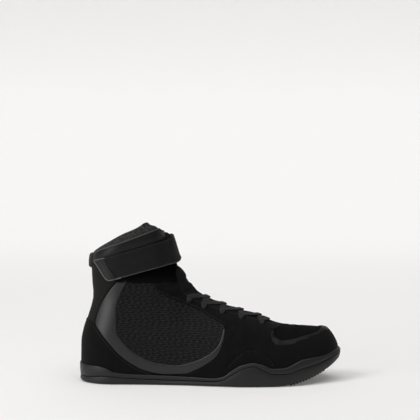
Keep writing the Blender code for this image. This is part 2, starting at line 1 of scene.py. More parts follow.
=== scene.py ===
"""Looks of a black high-top boxing shoe for the right foot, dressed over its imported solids.

Toe along +X, lateral side towards -Y, floor at Z = 0. Shapes are worked out in millimetres.
"""
import json
import math
from collections import namedtuple

import bmesh
import bpy
import numpy as np
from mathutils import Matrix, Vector, geometry, kdtree

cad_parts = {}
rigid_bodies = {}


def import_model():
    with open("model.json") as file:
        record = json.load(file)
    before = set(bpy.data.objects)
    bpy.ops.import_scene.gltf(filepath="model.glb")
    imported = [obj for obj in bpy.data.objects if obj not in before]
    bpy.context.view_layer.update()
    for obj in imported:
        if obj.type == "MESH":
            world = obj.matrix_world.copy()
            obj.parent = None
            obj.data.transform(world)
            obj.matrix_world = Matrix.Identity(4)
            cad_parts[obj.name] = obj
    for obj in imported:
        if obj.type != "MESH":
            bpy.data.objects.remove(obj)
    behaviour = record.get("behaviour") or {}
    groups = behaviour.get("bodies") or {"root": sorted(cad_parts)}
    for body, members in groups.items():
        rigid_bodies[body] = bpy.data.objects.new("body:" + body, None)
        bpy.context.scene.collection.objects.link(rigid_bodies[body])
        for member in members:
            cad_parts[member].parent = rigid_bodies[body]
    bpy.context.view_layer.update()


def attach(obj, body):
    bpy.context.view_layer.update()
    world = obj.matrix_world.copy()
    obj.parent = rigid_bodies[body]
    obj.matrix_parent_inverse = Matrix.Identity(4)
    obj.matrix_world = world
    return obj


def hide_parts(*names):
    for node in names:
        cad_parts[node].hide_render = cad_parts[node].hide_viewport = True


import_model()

# Camera and studio
# The photograph looks level at the lateral side from about a metre away. The studio is a white
# sweep that glows a little, lit by wide softboxes from above and from the heel side.
CAMERA_DISTANCE = 1.0
CAMERA_HEIGHT = 0.1886
PHOTO_SPAN = 0.4685          # width of the picture at the shoe's middle
SENSOR = 36.0
scene = bpy.context.scene
camera_data = bpy.data.cameras.new("photo_camera")
camera_data.sensor_width = SENSOR
camera_data.lens = SENSOR * CAMERA_DISTANCE / PHOTO_SPAN
camera = bpy.data.objects.new("photo_camera", camera_data)
camera.location = (0.0, -CAMERA_DISTANCE, CAMERA_HEIGHT)
camera.rotation_euler = (math.radians(90), 0, 0)
scene.collection.objects.link(camera)
scene.camera = camera
scene.view_settings.view_transform = "Standard"
scene.view_settings.look = "None"

SWEEP_HALF_WIDTH = 6.0
SWEEP_FRONT = -6.0
SWEEP_BEND = 3.0             # where the floor starts to rise behind the shoe
SWEEP_RADIUS = 2.0
SWEEP_TOP = 6.0
sweep_line = [(SWEEP_FRONT, 0.0)]
for step in range(17):
    angle = math.radians(90 * step / 16)
    sweep_line.append((SWEEP_BEND + SWEEP_RADIUS * math.sin(angle),
                       SWEEP_RADIUS * (1 - math.cos(angle))))
sweep_line.append((SWEEP_BEND + SWEEP_RADIUS, SWEEP_TOP))
sweep_bm = bmesh.new()
sweep_rows = [[sweep_bm.verts.new((side * SWEEP_HALF_WIDTH, y, z)) for side in (-1, 1)]
              for y, z in sweep_line]
for near, far in zip(sweep_rows[:-1], sweep_rows[1:]):
    sweep_bm.faces.new((near[0], near[1], far[1], far[0]))
sweep_mesh = bpy.data.meshes.new("studio_sweep")
sweep_bm.to_mesh(sweep_mesh)
sweep_bm.free()
sweep_mesh.shade_smooth()
sweep = bpy.data.objects.new("studio_sweep", sweep_mesh)
scene.collection.objects.link(sweep)


def principled(name, colour, roughness, specular=0.5):
    """A new material and its shader, with the values that are the same all over."""
    material = bpy.data.materials.new(name)
    material.use_nodes = True
    shader = material.node_tree.nodes["Principled BSDF"]
    shader.inputs["Base Color"].default_value = (*colour, 1.0)
    shader.inputs["Roughness"].default_value = roughness
    shader.inputs["Specular IOR Level"].default_value = specular
    return material, shader


def node(material, kind, **values):
    """A shader node with its settings and input values."""
    made = material.node_tree.nodes.new(kind)
    for name, value in values.items():
        if name in made.inputs.keys():
            made.inputs[name].default_value = value
        else:
            setattr(made, name, value)
    return made


def wire(material, source, target):
    material.node_tree.links.new(source, target)


def pattern(material, kind, on="Object", **values):
    """A node that reads the piece's Object coordinates, or its own cloth map where on is UV."""
    if on == "UV":
        coordinates = node(material, "ShaderNodeUVMap", uv_map="cloth")
    else:
        coordinates = node(material, "ShaderNodeTexCoord")
    made = node(material, kind, **values)
    wire(material, coordinates.outputs[on], made.inputs["Vector"])
    return made


def by_height(material, low, high, first=0.0, last=1.0):
    """A value that goes from first to last between two heights in metres."""
    axes = pattern(material, "ShaderNodeSeparateXYZ")
    made = node(material, "ShaderNodeMapRange",
                **{"From Min": low, "From Max": high, "To Min": first, "To Max": last})
    wire(material, axes.outputs["Z"], made.inputs["Value"])
    return made.outputs["Result"]


SWEEP_GLOW = (0.125, 0.25)   # of the floor, and of the wall from a height on
SWEEP_GLOW_HEIGHT = 0.9
paper, paper_shader = principled("white_paper", (0.74, 0.734, 0.73), 0.95, 0.05)
paper_shader.inputs["Emission Color"].default_value = (1.0, 0.985, 0.975, 1.0)
paper_glow = by_height(paper, 0.0, SWEEP_GLOW_HEIGHT, *SWEEP_GLOW)
wire(paper, paper_glow, paper_shader.inputs["Emission Strength"])
sweep_mesh.materials.append(paper)

ROOM_LIGHT = 0.22
world = bpy.data.worlds.new("studio")
world.use_nodes = True
world.node_tree.nodes["Background"].inputs["Color"].default_value = (1.0, 1.0, 1.0, 1.0)
world.node_tree.nodes["Background"].inputs["Strength"].default_value = ROOM_LIGHT
scene.world = world


def wide_light(name, source, strength, spread_deg):
    """A far, wide softbox: parallel light from a direction, with soft shadows."""
    light = bpy.data.lights.new(name, "SUN")
    light.energy = strength
    light.angle = math.radians(spread_deg)
    item = bpy.data.objects.new(name, light)
    flat = math.hypot(source[0], source[1])
    turned = math.atan2(source[1], source[0]) + math.pi / 2
    item.rotation_euler = (math.atan2(flat, source[2]), 0, turned)
    scene.collection.objects.link(item)


def soft_box(name, position, target, size, power):
    """A square softbox at a position, turned to a target."""
    light = bpy.data.lights.new(name, "AREA")
    light.energy = power
    light.size = size
    item = bpy.data.objects.new(name, light)
    item.location = position
    item.rotation_euler = (Vector(target) - Vector(position)).to_track_quat("-Z", "Y").to_euler()
    scene.collection.objects.link(item)


wide_light("key_softbox", (-0.75, -0.45, 0.85), 1.1, 25.0)
wide_light("top_softbox", (0.05, -0.28, 1.0), 1.35, 60.0)
soft_box("heel_side_softbox", (-0.80, -0.62, 0.26), (-0.08, 0.0, 0.08), 0.5, 3.0)

# Upper
# The shell of the shoe: woven nylon with a foam-backed lining, sewn from panels and pulled over
# a last. It is open at collar and throat and closed underneath by the sole.
MM = 0.001
TOE_SHIFT = 8.0
TOE_SHIFT_SPAN = (10.0, 150.0)
AXIS_SHIFT = 0.3
WALL = 2.0
PLATE = 4.5
HEEL_ROUND = 36.0
TOE_START = 80.0
TOE_RUN_ON = 6.0             # the plan's toe end goes this much further with each higher ring
TOE_POWERS = (2.4, 2.1)
ARCH_POWERS = (2.4, 1.9)
FEATHER_TUCK = 0.03
SAG_RINGS = 2.2
LEG_RINGS = (1.0, 7.0)
LEG_FADE = (-60.0, 40.0)
LATERAL = -1
MEDIAL = 1
Ring = namedtuple("Ring", "place back_x back_z ridge_x ridge_z leg_half throat")
RINGS = [
    Ring("feather", -141.4, 6.0, 141.8, 28.0, 31.0, 0.0),
    Ring("rand", -142.4, 21.0, 142.6, 36.5, 31.5, 0.0),
    Ring("toe_top", -142.2, 42.0, 129.5, 57.0, 31.5, 0.0),
    Ring("vamp", -139.8, 57.0, 108.0, 59.2, 31.0, 0.0),
    Ring("throat_front", -137.0, 66.0, 83.0, 61.0, 31.0, 15.0),
    Ring("lower_lace", -134.4, 74.5, 53.0, 70.0, 31.0, 18.0),
    Ring("instep", -132.0, 82.0, 18.0, 81.0, 31.0, 18.5),
    Ring("upper_lace", -130.2, 90.0, -11.0, 94.0, 31.0, 19.0),
    Ring("bend", -129.6, 98.0, -26.5, 108.0, 31.5, 12.0),
    Ring("strap_lower", -130.4, 106.5, -37.5, 131.0, 33.0, 8.5),
    Ring("strap_upper", -131.6, 131.5, -46.0, 157.0, 36.0, 10.0),
    Ring("collar", -130.0, 141.5, -50.5, 166.0, 37.5, 14.0),
    Ring("cuff", -129.2, 147.0, -55.0, 182.0, 38.0, 18.5),
]
PLACE = {ring.place: number for number, ring in enumerate(RINGS)}
THROAT_ROUND = 0.75
SHIN_ABOVE = ((-62.0, 215.0), (-90.0, 330.0), (-150.0, 600.0))
PlanRow = namedtuple("PlanRow", "x lateral medial")
PLAN = [
    PlanRow(-110.0, 32.0, 31.5),
    PlanRow(-75.0, 33.0, 30.5),
    PlanRow(-35.0, 36.5, 29.0),
    PlanRow(5.0, 43.5, 33.0),
    PlanRow(40.0, 49.0, 40.5),
    PlanRow(65.0, 49.5, 44.0),
    PlanRow(90.0, 47.0, 43.0),
    PlanRow(115.0, 41.0, 39.0),
    PlanRow(143.0, 33.0, 33.0),
]
SoleRow = namedtuple("SoleRow", "x rand_top groove bottom")
SOLE = [
    SoleRow(-145.0, 21.5, 7.2, 1.2),
    SoleRow(-136.0, 20.0, 7.2, 0.0),
    SoleRow(-122.0, 19.8, 8.4, 0.0),
    SoleRow(-114.0, 18.2, 8.9, 0.0),
    SoleRow(-103.0, 13.2, 8.2, 0.0),
    SoleRow(-88.0, 11.6, 7.0, 0.0),
    SoleRow(-32.0, 10.0, 5.5, 0.0),
    SoleRow(4.0, 8.8, 5.3, 0.0),
    SoleRow(14.0, 10.8, 6.9, 0.0),
    SoleRow(23.0, 17.2, 12.5, 0.0),
    SoleRow(33.0, 23.2, 18.4, 0.0),
    SoleRow(46.0, 25.8, 22.0, 0.0),
    SoleRow(57.0, 23.4, 17.6, 0.0),
    SoleRow(67.0, 19.6, 13.6, 0.0),
    SoleRow(78.0, 19.8, 13.2, 0.5),
    SoleRow(100.0, 28.0, 18.6, 5.0),
    SoleRow(123.0, 30.2, 24.2, 13.0),
    SoleRow(144.0, 36.8, 32.8, 23.4),
]


def smooth_curve(knots, values, at):
    """Shape-preserving cubic through the given values, carried on straight past both ends."""
    knots = np.asarray(knots, float)
    values = np.asarray(values, float)
    at = np.asarray(at, float)
    step = np.diff(knots)
    chord = np.diff(values) / step
    slope = np.concatenate(([chord[0]], np.zeros(len(knots) - 2), [chord[-1]]))
    same_way = chord[:-1] * chord[1:] > 0
    before, after = chord[:-1][same_way], chord[1:][same_way]
    slope[1:-1][same_way] = 2 * before * after / (before + after)
    cell = np.clip(np.searchsorted(knots, at) - 1, 0, len(step) - 1)
    width = step[cell]
    t = np.clip((at - knots[cell]) / width, 0, 1)
    inside = (values[cell] * (1 + 2 * t) * (1 - t) ** 2 + values[cell + 1] * t * t * (3 - 2 * t)
              + width * (slope[cell] * t * (1 - t) ** 2 - slope[cell + 1] * t * t * (1 - t)))
    past = np.minimum(at - knots[0], 0) * slope[0] + np.maximum(at - knots[-1], 0) * slope[-1]
    return inside + past


def table_curve(table, name, at):
    """One column of a table as a smooth curve over its first column."""
    return smooth_curve([row[0] for row in table], [getattr(row, name) for row in table], at)


def ring_value(name, v):
    return smooth_curve(range(len(RINGS)), [getattr(ring, name) for ring in RINGS], v)


def smoothstep(low, high, at):
    t = np.clip((np.asarray(at, float) - low) / (high - low), 0, 1)
    return t * t * (3 - 2 * t)


def quarter_round(t):
    """Height of a rounded edge, from 0 at its rim to 1 where t is 1."""
    return np.sqrt(1 - (1 - np.clip(t, 0, 1)) ** 2)


def floor_height(x):
    return table_curve(SOLE, "bottom", x) + PLATE


def centre_line(x):
    return AXIS_SHIFT + TOE_SHIFT * smoothstep(*TOE_SHIFT_SPAN, x)


ridge_numbers = np.linspace(PLACE["rand"], len(RINGS) - 1, 400)
ridge_line = np.stack([ring_value(name, ridge_numbers) for name in ("ridge_x", "ridge_z")], axis=1)
ridge_line = np.concatenate((ridge_line, SHIN_ABOVE))[::-1]


def ring_height(x, v):
    """Side-view height of ring v at x. Low rings follow the curve of the sole."""
    share = (x - ring_value("back_x", v)) / (ring_value("ridge_x", v) - ring_value("back_x", v))
    level = ring_value("back_z", v) + (ring_value("ridge_z", v) - ring_value("back_z", v)) * share
    chord = RINGS[0].back_z + (RINGS[0].ridge_z - RINGS[0].back_z) * share
    fade = np.maximum(0.0, 1 - v / SAG_RINGS) ** 2
    return level - fade * (chord - floor_height(x))


def half_width(x, z, v, side):
    """Half width of the last at a point of the side view on ring v."""
    plan = table_curve(PLAN, "lateral" if side == LATERAL else "medial", x)
    leg = smoothstep(*LEG_RINGS, v) * (1 - smoothstep(*LEG_FADE, x))
    body = plan + (ring_value("leg_half", v) - plan) * leg
    heel = quarter_round((x - ring_value("back_x", v)) / HEEL_ROUND)
    toe_end = ring_value("ridge_x", v) if v <= 1 else RINGS[1].ridge_x + TOE_RUN_ON * (v - 1)
    into_toe = np.clip((x - TOE_START) / (toe_end - TOE_START), 0, 1)
    toe = (1 - into_toe ** TOE_POWERS[0]) ** (1 / TOE_POWERS[1])
    base = floor_height(x)
    ridge = np.interp(x, ridge_line[:, 0], ridge_line[:, 1])
    rise = np.clip((z - base) / np.maximum(ridge - base, 0.1), 0, 1)
    arch = (1 - rise ** ARCH_POWERS[0]) ** (1 / ARCH_POWERS[1])
    tuck = 1 - FEATHER_TUCK * (1 - min(v, 1)) ** 2
    return body * heel * toe * arch * tuck


def path_length(points):
    """Length walked along a line of points, from 0 at its first one."""
    return np.concatenate(([0], np.cumsum(np.linalg.norm(np.diff(points, axis=0), axis=1))))


RING_STEPS = 24              # table rows between two rings
GIRTH_STEPS = 320            # table columns from heel to ridge
skin_rings = np.linspace(0, len(RINGS) - 1, (len(RINGS) - 1) * RING_STEPS + 1)
skin_table = np.zeros((len(skin_rings), 2 * GIRTH_STEPS + 1, 3))
girths = {LATERAL: np.zeros(len(skin_rings)), MEDIAL: np.zeros(len(skin_rings))}
for row, v in enumerate(skin_rings):
    share = (1 - np.cos(np.linspace(0, math.pi, 361))) / 2
    xs = ring_value("back_x", v) + (ring_value("ridge_x", v) - ring_value("back_x", v)) * share
    zs = ring_height(xs, v)
    for side in (LATERAL, MEDIAL):
        width = half_width(xs, zs, v, side)
        width[[0, -1]] = 0
        points = np.stack((xs, centre_line(xs) + side * width, zs), axis=1)
        length = path_length(points)
        girths[side][row] = length[-1]
        even = np.linspace(0, length[-1], GIRTH_STEPS + 1)
        line = np.stack([np.interp(even, length, points[:, axis]) for axis in range(3)], axis=1)
        if side == LATERAL:
            skin_table[row, :GIRTH_STEPS + 1] = line[::-1]
        else:
            skin_table[row, GIRTH_STEPS:] = line


def run_on(table):
    """A skin table with two columns from its far end added on each side."""
    return np.concatenate((table[:, -3:-1], table, table[:, 1:3]), axis=1)


def unit(vectors):
    """Vectors of length 1 in the same directions."""
    return vectors / (np.linalg.norm(vectors, axis=-1, keepdims=True) + 1e-12)


around = np.gradient(run_on(skin_table), axis=1)[:, 2:-2]
upward = np.gradient(skin_table, axis=0)
normal_table = unit(np.cross(upward, around))
for _ in range(3):
    side_by_side = run_on(normal_table)
    normal_table = sum(side_by_side[:, shift:shift + normal_table.shape[1]] for shift in range(5))
    normal_table[1:-1] = normal_table[:-2] + 2 * normal_table[1:-1] + normal_table[2:]
    normal_table = unit(normal_table)


def read_table(table, q, v):
    """Value of a skin table at girth place q and ring v. q is -1 at the ridge, runs over the
    lateral side to 0 at the heel and over the medial side to 1, and goes on past the ridge."""
    q, v = np.broadcast_arrays(np.asarray(q, float), np.asarray(v, float))
    column = (np.mod(q + 1, 2)) * GIRTH_STEPS
    row = np.clip(v, 0, len(RINGS) - 1) * RING_STEPS
    left = np.minimum(column.astype(int), 2 * GIRTH_STEPS - 1)
    low = np.minimum(row.astype(int), len(skin_rings) - 2)
    across = (column - left)[..., None]
    up = (row - low)[..., None]
    return ((table[low, left] * (1 - across) + table[low, left + 1] * across) * (1 - up)
            + (table[low + 1, left] * (1 - across) + table[low + 1, left + 1] * across) * up)


def normal(q, v):
    return unit(read_table(normal_table, q, v))


CREASE_BOW = 1.6
CREASES = (                  # both ends in the side view, depth and half width
    ((-26.0, 114.0), (-54.0, 103.0), 1.0, 2.0),
    ((-19.0, 103.0), (-47.0, 93.5), 0.8, 2.0),
    ((-5.0, 93.0), (-25.0, 85.0), 0.5, 2.2),
    ((36.0, 70.0), (24.0, 50.0), 0.5, 3.0),
    ((56.0, 62.0), (46.0, 42.0), 0.7, 3.0),
    ((70.0, 55.0), (62.0, 35.0), 0.6, 2.8),
    ((100.0, 60.0), (92.0, 52.0), 0.5, 2.4),
    ((-127.0, 104.0), (-108.0, 108.0), 0.6, 2.4),
    ((-130.0, 92.0), (-116.0, 94.0), 0.4, 2.2),
)


def crease_depth(points):
    """Soft troughs, each between two low ridges, where ankle and ball of the foot bend."""
    x, z = points[..., 0], points[..., 2]
    sunk = np.zeros(x.shape)
    for (x0, z0), (x1, z1), depth, width in CREASES:
        length = math.hypot(x1 - x0, z1 - z0)
        along = ((x - x0) * (x1 - x0) + (z - z0) * (z1 - z0)) / length ** 2
        beside = ((x - x0) * (z1 - z0) - (z - z0) * (x1 - x0)) / length
        beside = beside + CREASE_BOW * np.sin(np.pi * np.clip(along, 0, 1))
        ends = smoothstep(-0.2, 0.3, along) * (1 - smoothstep(0.7, 1.2, along))
        away = (beside / width) ** 2
        sunk += depth * ends * (1 - away) * np.exp(-away / 2)
    return sunk


def skin(q, v, out=0.0):
    """Point of the creased upper in millimetres, moved out along the normal."""
    points = read_table(skin_table, q, v)
    return points + normal(q, v) * (np.asarray(out, float) - crease_depth(points))[..., None]


def girth(v, side):
    return np.interp(v, skin_rings, girths[side])


def throat_half(v):
    """Half opening of the throat on ring v, rounded at its front end."""
    inward = (np.asarray(v, float) - PLACE["throat_front"]) / THROAT_ROUND
    return ring_value("throat", v) * quarter_round(inward)


def from_ridge(distance, v, side):
    """Girth place at a distance from the ridge along the skin."""
    return side * (1 - np.asarray(distance, float) / girth(v, side))


def girth_place(x, v, side):
    """Girth place on ring v at x."""
    shares = np.linspace(0, 1, GIRTH_STEPS + 1)
    return side * np.interp(x, read_table(skin_table, side * shares, v)[:, 0], shares)


def halved(low, high, is_under):
    """Rings at which a test turns from true to false, for all columns at once."""
    for _ in range(32):
        middle = (low + high) / 2
        under = is_under(middle)
        low = np.where(under, middle, low)
        high = np.where(under, high, middle)
    return low


def place(points, side):
    """Girth places and rings of side-view points (x, z)."""
    x, z = np.asarray(points, float).T
    rings = halved(np.zeros(len(x)), len(RINGS) - 1.0, lambda v: ring_height(x, v) < z)
    return np.array([(girth_place(at_x, v, side), v) for at_x, v in zip(x, rings)])


def round_opening(share, v, half):
    """Girth places for shares from -1 to 1 round the foot, up to a half opening at the ridge."""
    return share * (1 - half / np.where(share < 0, girth(v, LATERAL), girth(v, MEDIAL)))


def add_piece(name, mesh, material, slot, *nodes):
    """A finished mesh as a piece of the shoe, standing for its solids."""
    mesh.name = name
    mesh.materials.clear()
    mesh.materials.append(material)
    item = bpy.data.objects.new(name, mesh)
    scene.collection.objects.link(item)
    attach(item, "root")
    if nodes:
        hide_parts(*nodes)
    return item


def grid_mesh(name, points, closed_columns=False, uv=None):
    """Smooth quads over a grid of points in millimetres, with an optional UV for each point."""
    rows, columns = points.shape[:2]
    index = np.arange(rows * columns).reshape(rows, columns)
    right = np.roll(index, -1, axis=1) if closed_columns else index[:, 1:]
    here = index if closed_columns else index[:, :-1]
    faces = np.stack((here[:-1], right[:-1], right[1:], here[1:]), axis=-1).reshape(-1, 4)
    mesh = bpy.data.meshes.new(name)
    mesh.from_pydata((points.reshape(-1, 3) * MM).tolist(), [], faces.tolist())
    if uv is not None:
        corners = np.zeros(len(mesh.loops), int)
        mesh.loops.foreach_get("vertex_index", corners)
        layer = mesh.uv_layers.new(name="cloth")
        layer.data.foreach_set("uv", uv.reshape(-1, 2)[corners].astype(np.float32).ravel())
    mesh.shade_smooth()
    return mesh


def solidified(mesh, thickness, offset=-1.0):
    """The mesh with a wall of the given thickness, as a plain mesh."""
    item = bpy.data.objects.new("wall", mesh)
    scene.collection.objects.link(item)
    wall = item.modifiers.new("Wall", "SOLIDIFY")
    wall.thickness = thickness * MM
    wall.offset = offset
    wall.use_even_offset = False
    made = bpy.data.meshes.new_from_object(item.evaluated_get(bpy.context.evaluated_depsgraph_get()))
    bpy.data.objects.remove(item)
    made.shade_smooth()
    return made


def bump(material, shader, height, strength, distance, under=None):
    """A bump of a height on the shader, laid over another bump where one is given."""
    made = node(material, "ShaderNodeBump", Strength=strength, Distance=distance)
    wire(material, height, made.inputs["Height"])
    if under:
        wire(material, under.outputs["Normal"], made.inputs["Normal"])
    wire(material, made.outputs["Normal"], shader.inputs["Normal"])
    return made


def tone(material, shader, value, dark, light):
    """Base colour between two tones, by a value from 0 to 1."""
    ramp = node(material, "ShaderNodeValToRGB")
    ramp.color_ramp.elements[0].color = (*dark, 1.0)
    ramp.color_ramp.elements[1].color = (*light, 1.0)
    wire(material, value, ramp.inputs["Fac"])
    wire(material, ramp.outputs["Color"], shader.inputs["Base Color"])
    return ramp


def wave_scale(pitch):
    """Scale of a wave texture whose bands repeat at a pitch."""
    return math.tau / 20 / pitch


WEAVE_PITCH = 0.9            # threads of the nylon


def woven_cloth(name, dark, light):
    """Plain-woven nylon, lit and dark by its threads."""
    cloth, shader = principled(name, light, 0.9, 0.05)
    weave = node(cloth, "ShaderNodeMath", operation="MULTIPLY")
    for socket, direction in zip(weave.inputs, ("X", "Y")):
        wave = pattern(cloth, "ShaderNodeTexWave", "UV", bands_direction=direction,
                       Scale=wave_scale(WEAVE_PITCH), Distortion=0.6, Detail=1.0)
        wire(cloth, wave.outputs["Fac"], socket)
    tone(cloth, shader, weave.outputs["Value"], dark, light)
    bump(cloth, shader, weave.outputs["Value"], 0.5, 0.0004)
    return cloth


nylon = woven_cloth("woven_nylon", (0.0028, 0.0028, 0.0028), (0.0095, 0.0094, 0.0093))

UPPER_COLUMNS = 110
UPPER_ROWS = 132
upper_v = np.linspace(0, PLACE["collar"], UPPER_ROWS + 1)[:, None]
upper_s = np.linspace(-1, 1, 2 * UPPER_COLUMNS + 1)[None, :]
upper_q = round_opening(upper_s, upper_v, throat_half(upper_v))
upper_points = skin(upper_q, upper_v)
upper_uv = np.stack((upper_q * girth(upper_v, MEDIAL), upper_points[..., 2]), axis=-1)
upper_mesh = grid_mesh("upper", upper_points, uv=upper_uv)
upper_mesh.flip_normals()
add_piece("upper_shell", solidified(upper_mesh, WALL), nylon, "textile", "upper")

# Suede panels
# Matte synthetic suede, cut to shape and sewn over the nylon: a counter round the heel, and one
# wrap that runs from the eyelets down both sides and round the toe, with punched holes.
OVERLAY = 1.1
EDGE_ROUND = 0.6             # the cut edge is rolled over this width
TUCKED = 1.5                 # a panel goes on this far behind the rand
BAND_OUTER = (               # outlines are given in the side view, X and Z
    (-101.0, 111.0), (-109.1, 101.4), (-116.9, 89.4), (-122.9, 75.0), (-124.6, 66.0), (-118.0, 55.0),
    (-109.1, 44.2), (-99.2, 33.2), (-85.0, 22.6), (-68.5, 14.8), (-48.0, 11.6), (-27.0, 12.6),
    (-15.9, 16.7), (-3.9, 23.3), (7.1, 32.1), (12.6, 42.0), (15.9, 53.0), (16.8, 60.5),
)
BAND_INNER = (
    (-89.6, 111.0), (-97.0, 97.0), (-101.2, 81.0), (-101.2, 61.0), (-93.8, 46.4), (-79.5, 33.2),
    (-59.8, 24.4), (-37.8, 21.7), (-19.2, 25.6), (-2.7, 33.2), (8.3, 43.0), (12.6, 53.0), (13.6, 59.5),
)
BAND_LOWEST = (-37.8, 21.7)
EYESTAY_SEAM = (
    (14.6, 64.5), (4.0, 69.5), (-10.0, 77.5), (-31.0, 87.4), (-54.5, 98.0), (-59.0, 102.5),
    (-61.0, 110.0),
)
COUNTER_STEP = ((-138.0, 69.0), (-124.6, 66.0))
EYESTAY_LOBE = ((77.4, 60.6), (75.4, 59.2), (71.0, 58.2), (66.8, 57.0))
UNDER_FILM = ((67.2, 51.6), (71.6, 45.6), (80.0, 44.2), (93.0, 45.9), (108.0, 49.2), (118.0, 51.9))
UNDER_FILM_RIDGE_X = 127.5
EYELET_RINGS = (4.66, 5.25, 5.8, 6.38, 6.98)   # where the lace crosses the throat's edge
EYELET_EDGE = 8.0            # from there to the middle of an eyelet
EYELET_RADIUS = 2.0
PERFORATION_ARC = ((16.8, 21.5), (27.5, 32.7), (40.0, 40.0), (48.7, 39.6), (59.4, 34.3), (69.0, 24.7))
PERFORATION_RADIUS = 0.5
PERFORATION_PITCH = 3.0
PERFORATION_SPANS = ((18.0, 34.5), (38.0, 49.0), (60.0, 70.0))   # X of the three clusters


def smooth_through(points, count):
    """A smooth line through a few points, with even steps along their chords."""
    points = np.asarray(points, float)
    walked = path_length(points)
    even = np.linspace(0, walked[-1], count)
    return np.stack([smooth_curve(walked, axis, even) for axis in points.T], axis=1)


def stretch(line, start, stop):
    """The part of a line between its points nearest to two given ones, in that direction."""
    first, last = (int(np.argmin(np.linalg.norm(line - end, axis=1))) for end in (start, stop))
    return line[first:last + 1] if first <= last else line[last:first + 1][::-1]


def rand_edge(first_x, last_x, count, above=-TUCKED):
    """Side-view line along the rand's top edge."""
    xs = np.linspace(first_x, last_x, count)
    return np.stack((xs, table_curve(SOLE, "rand_top", xs) + above), axis=1)


def ridge_ring(x):
    """Ring that meets the ridge at x."""
    rings = skin_rings[RING_STEPS:]
    return float(np.interp(-x, -ring_value("ridge_x", rings), rings))


def past_ridge(line):
    """Girth places counted from the medial side on over the ridge, so that a toe piece is whole."""
    return np.stack((np.where(line[:, 0] < 0, line[:, 0] + 2, line[:, 0]), line[:, 1]), axis=1)


def resampled(outline, spacing, closed=True):
    """A line of girth places and rings, at an even spacing along the skin in millimetres."""
    line = np.concatenate((outline, outline[:1])) if closed else np.asarray(outline, float)
    fine = np.concatenate([start + (stop - start) * np.linspace(0, 1, 12, endpoint=False)[:, None]
                           for start, stop in zip(line[:-1], line[1:])] + [line[-1:]])
    walked = path_length(skin(*fine.T))
    even = np.linspace(0, walked[-1], max(8, int(walked[-1] / spacing)) + 1)
    made = np.stack([np.interp(even, walked, fine[:, axis]) for axis in range(2)], axis=1)
    return made[:-1] if closed else made


def slide(spots, moves):
    """Girth places and rings moved along the skin by steps in millimetres."""
    nudge = 1e-3
    points = skin(*spots.T)
    by_q = (skin(spots[:, 0] + nudge, spots[:, 1]) - points) / nudge
    by_v = (skin(spots[:, 0], spots[:, 1] + nudge) - points) / nudge
    qq, qv, vv, mq, mv = (np.einsum("ij,ij->i", *pair) for pair in (
        (by_q, by_q), (by_q, by_v), (by_v, by_v), (by_q, moves), (by_v, moves)))
    spread = qq * vv - qv * qv + 1e-9
    return spots + np.stack(((mq * vv - mv * qv) / spread, (mv * qq - mq * qv) / spread), axis=1)


def step_left(line, distance, closed=False):
    """The line moved to its left on the skin, by a distance in millimetres."""
    points = skin(*line.T)
    if closed:
        along = np.roll(points, -1, axis=0) - np.roll(points, 1, axis=0)
    else:
        along = np.gradient(points, axis=0)
    return slide(line, distance * unit(np.cross(normal(*line.T), along)))


def circle_on_skin(spot, radius, count=10):
    out = normal(*spot)
    along = unit(skin(spot[0] + 0.002, spot[1]) - skin(spot[0] - 0.002, spot[1]))
    angles = np.linspace(0, math.tau, count, endpoint=False)[:, None]
    moves = radius * (np.cos(angles) * along + np.sin(angles) * np.cross(out, along))
    return slide(np.tile(spot, (count, 1)), moves)


def inside_outline(points, outline):
    """Which points lie inside a closed outline, by counting crossings."""
    x, y = points[:, 0][:, None], points[:, 1][:, None]
    x0, y0 = outline[:, 0][None], outline[:, 1][None]
    x1, y1 = np.roll(outline, -1, axis=0).T[:, None, :]
    crosses = (y0 > y) != (y1 > y)
    at = x0 + (y - y0) * (x1 - x0) / np.where(y1 == y0, 1e-12, y1 - y0)
    return (np.sum(crosses & (x < at), axis=1) % 2) == 1


PANEL_SCALE = np.array((260.0, 14.0))   # rough millimetres for one unit of girth place and of ring
SUNK = 0.15                  # a panel's cut edge starts this far under the skin


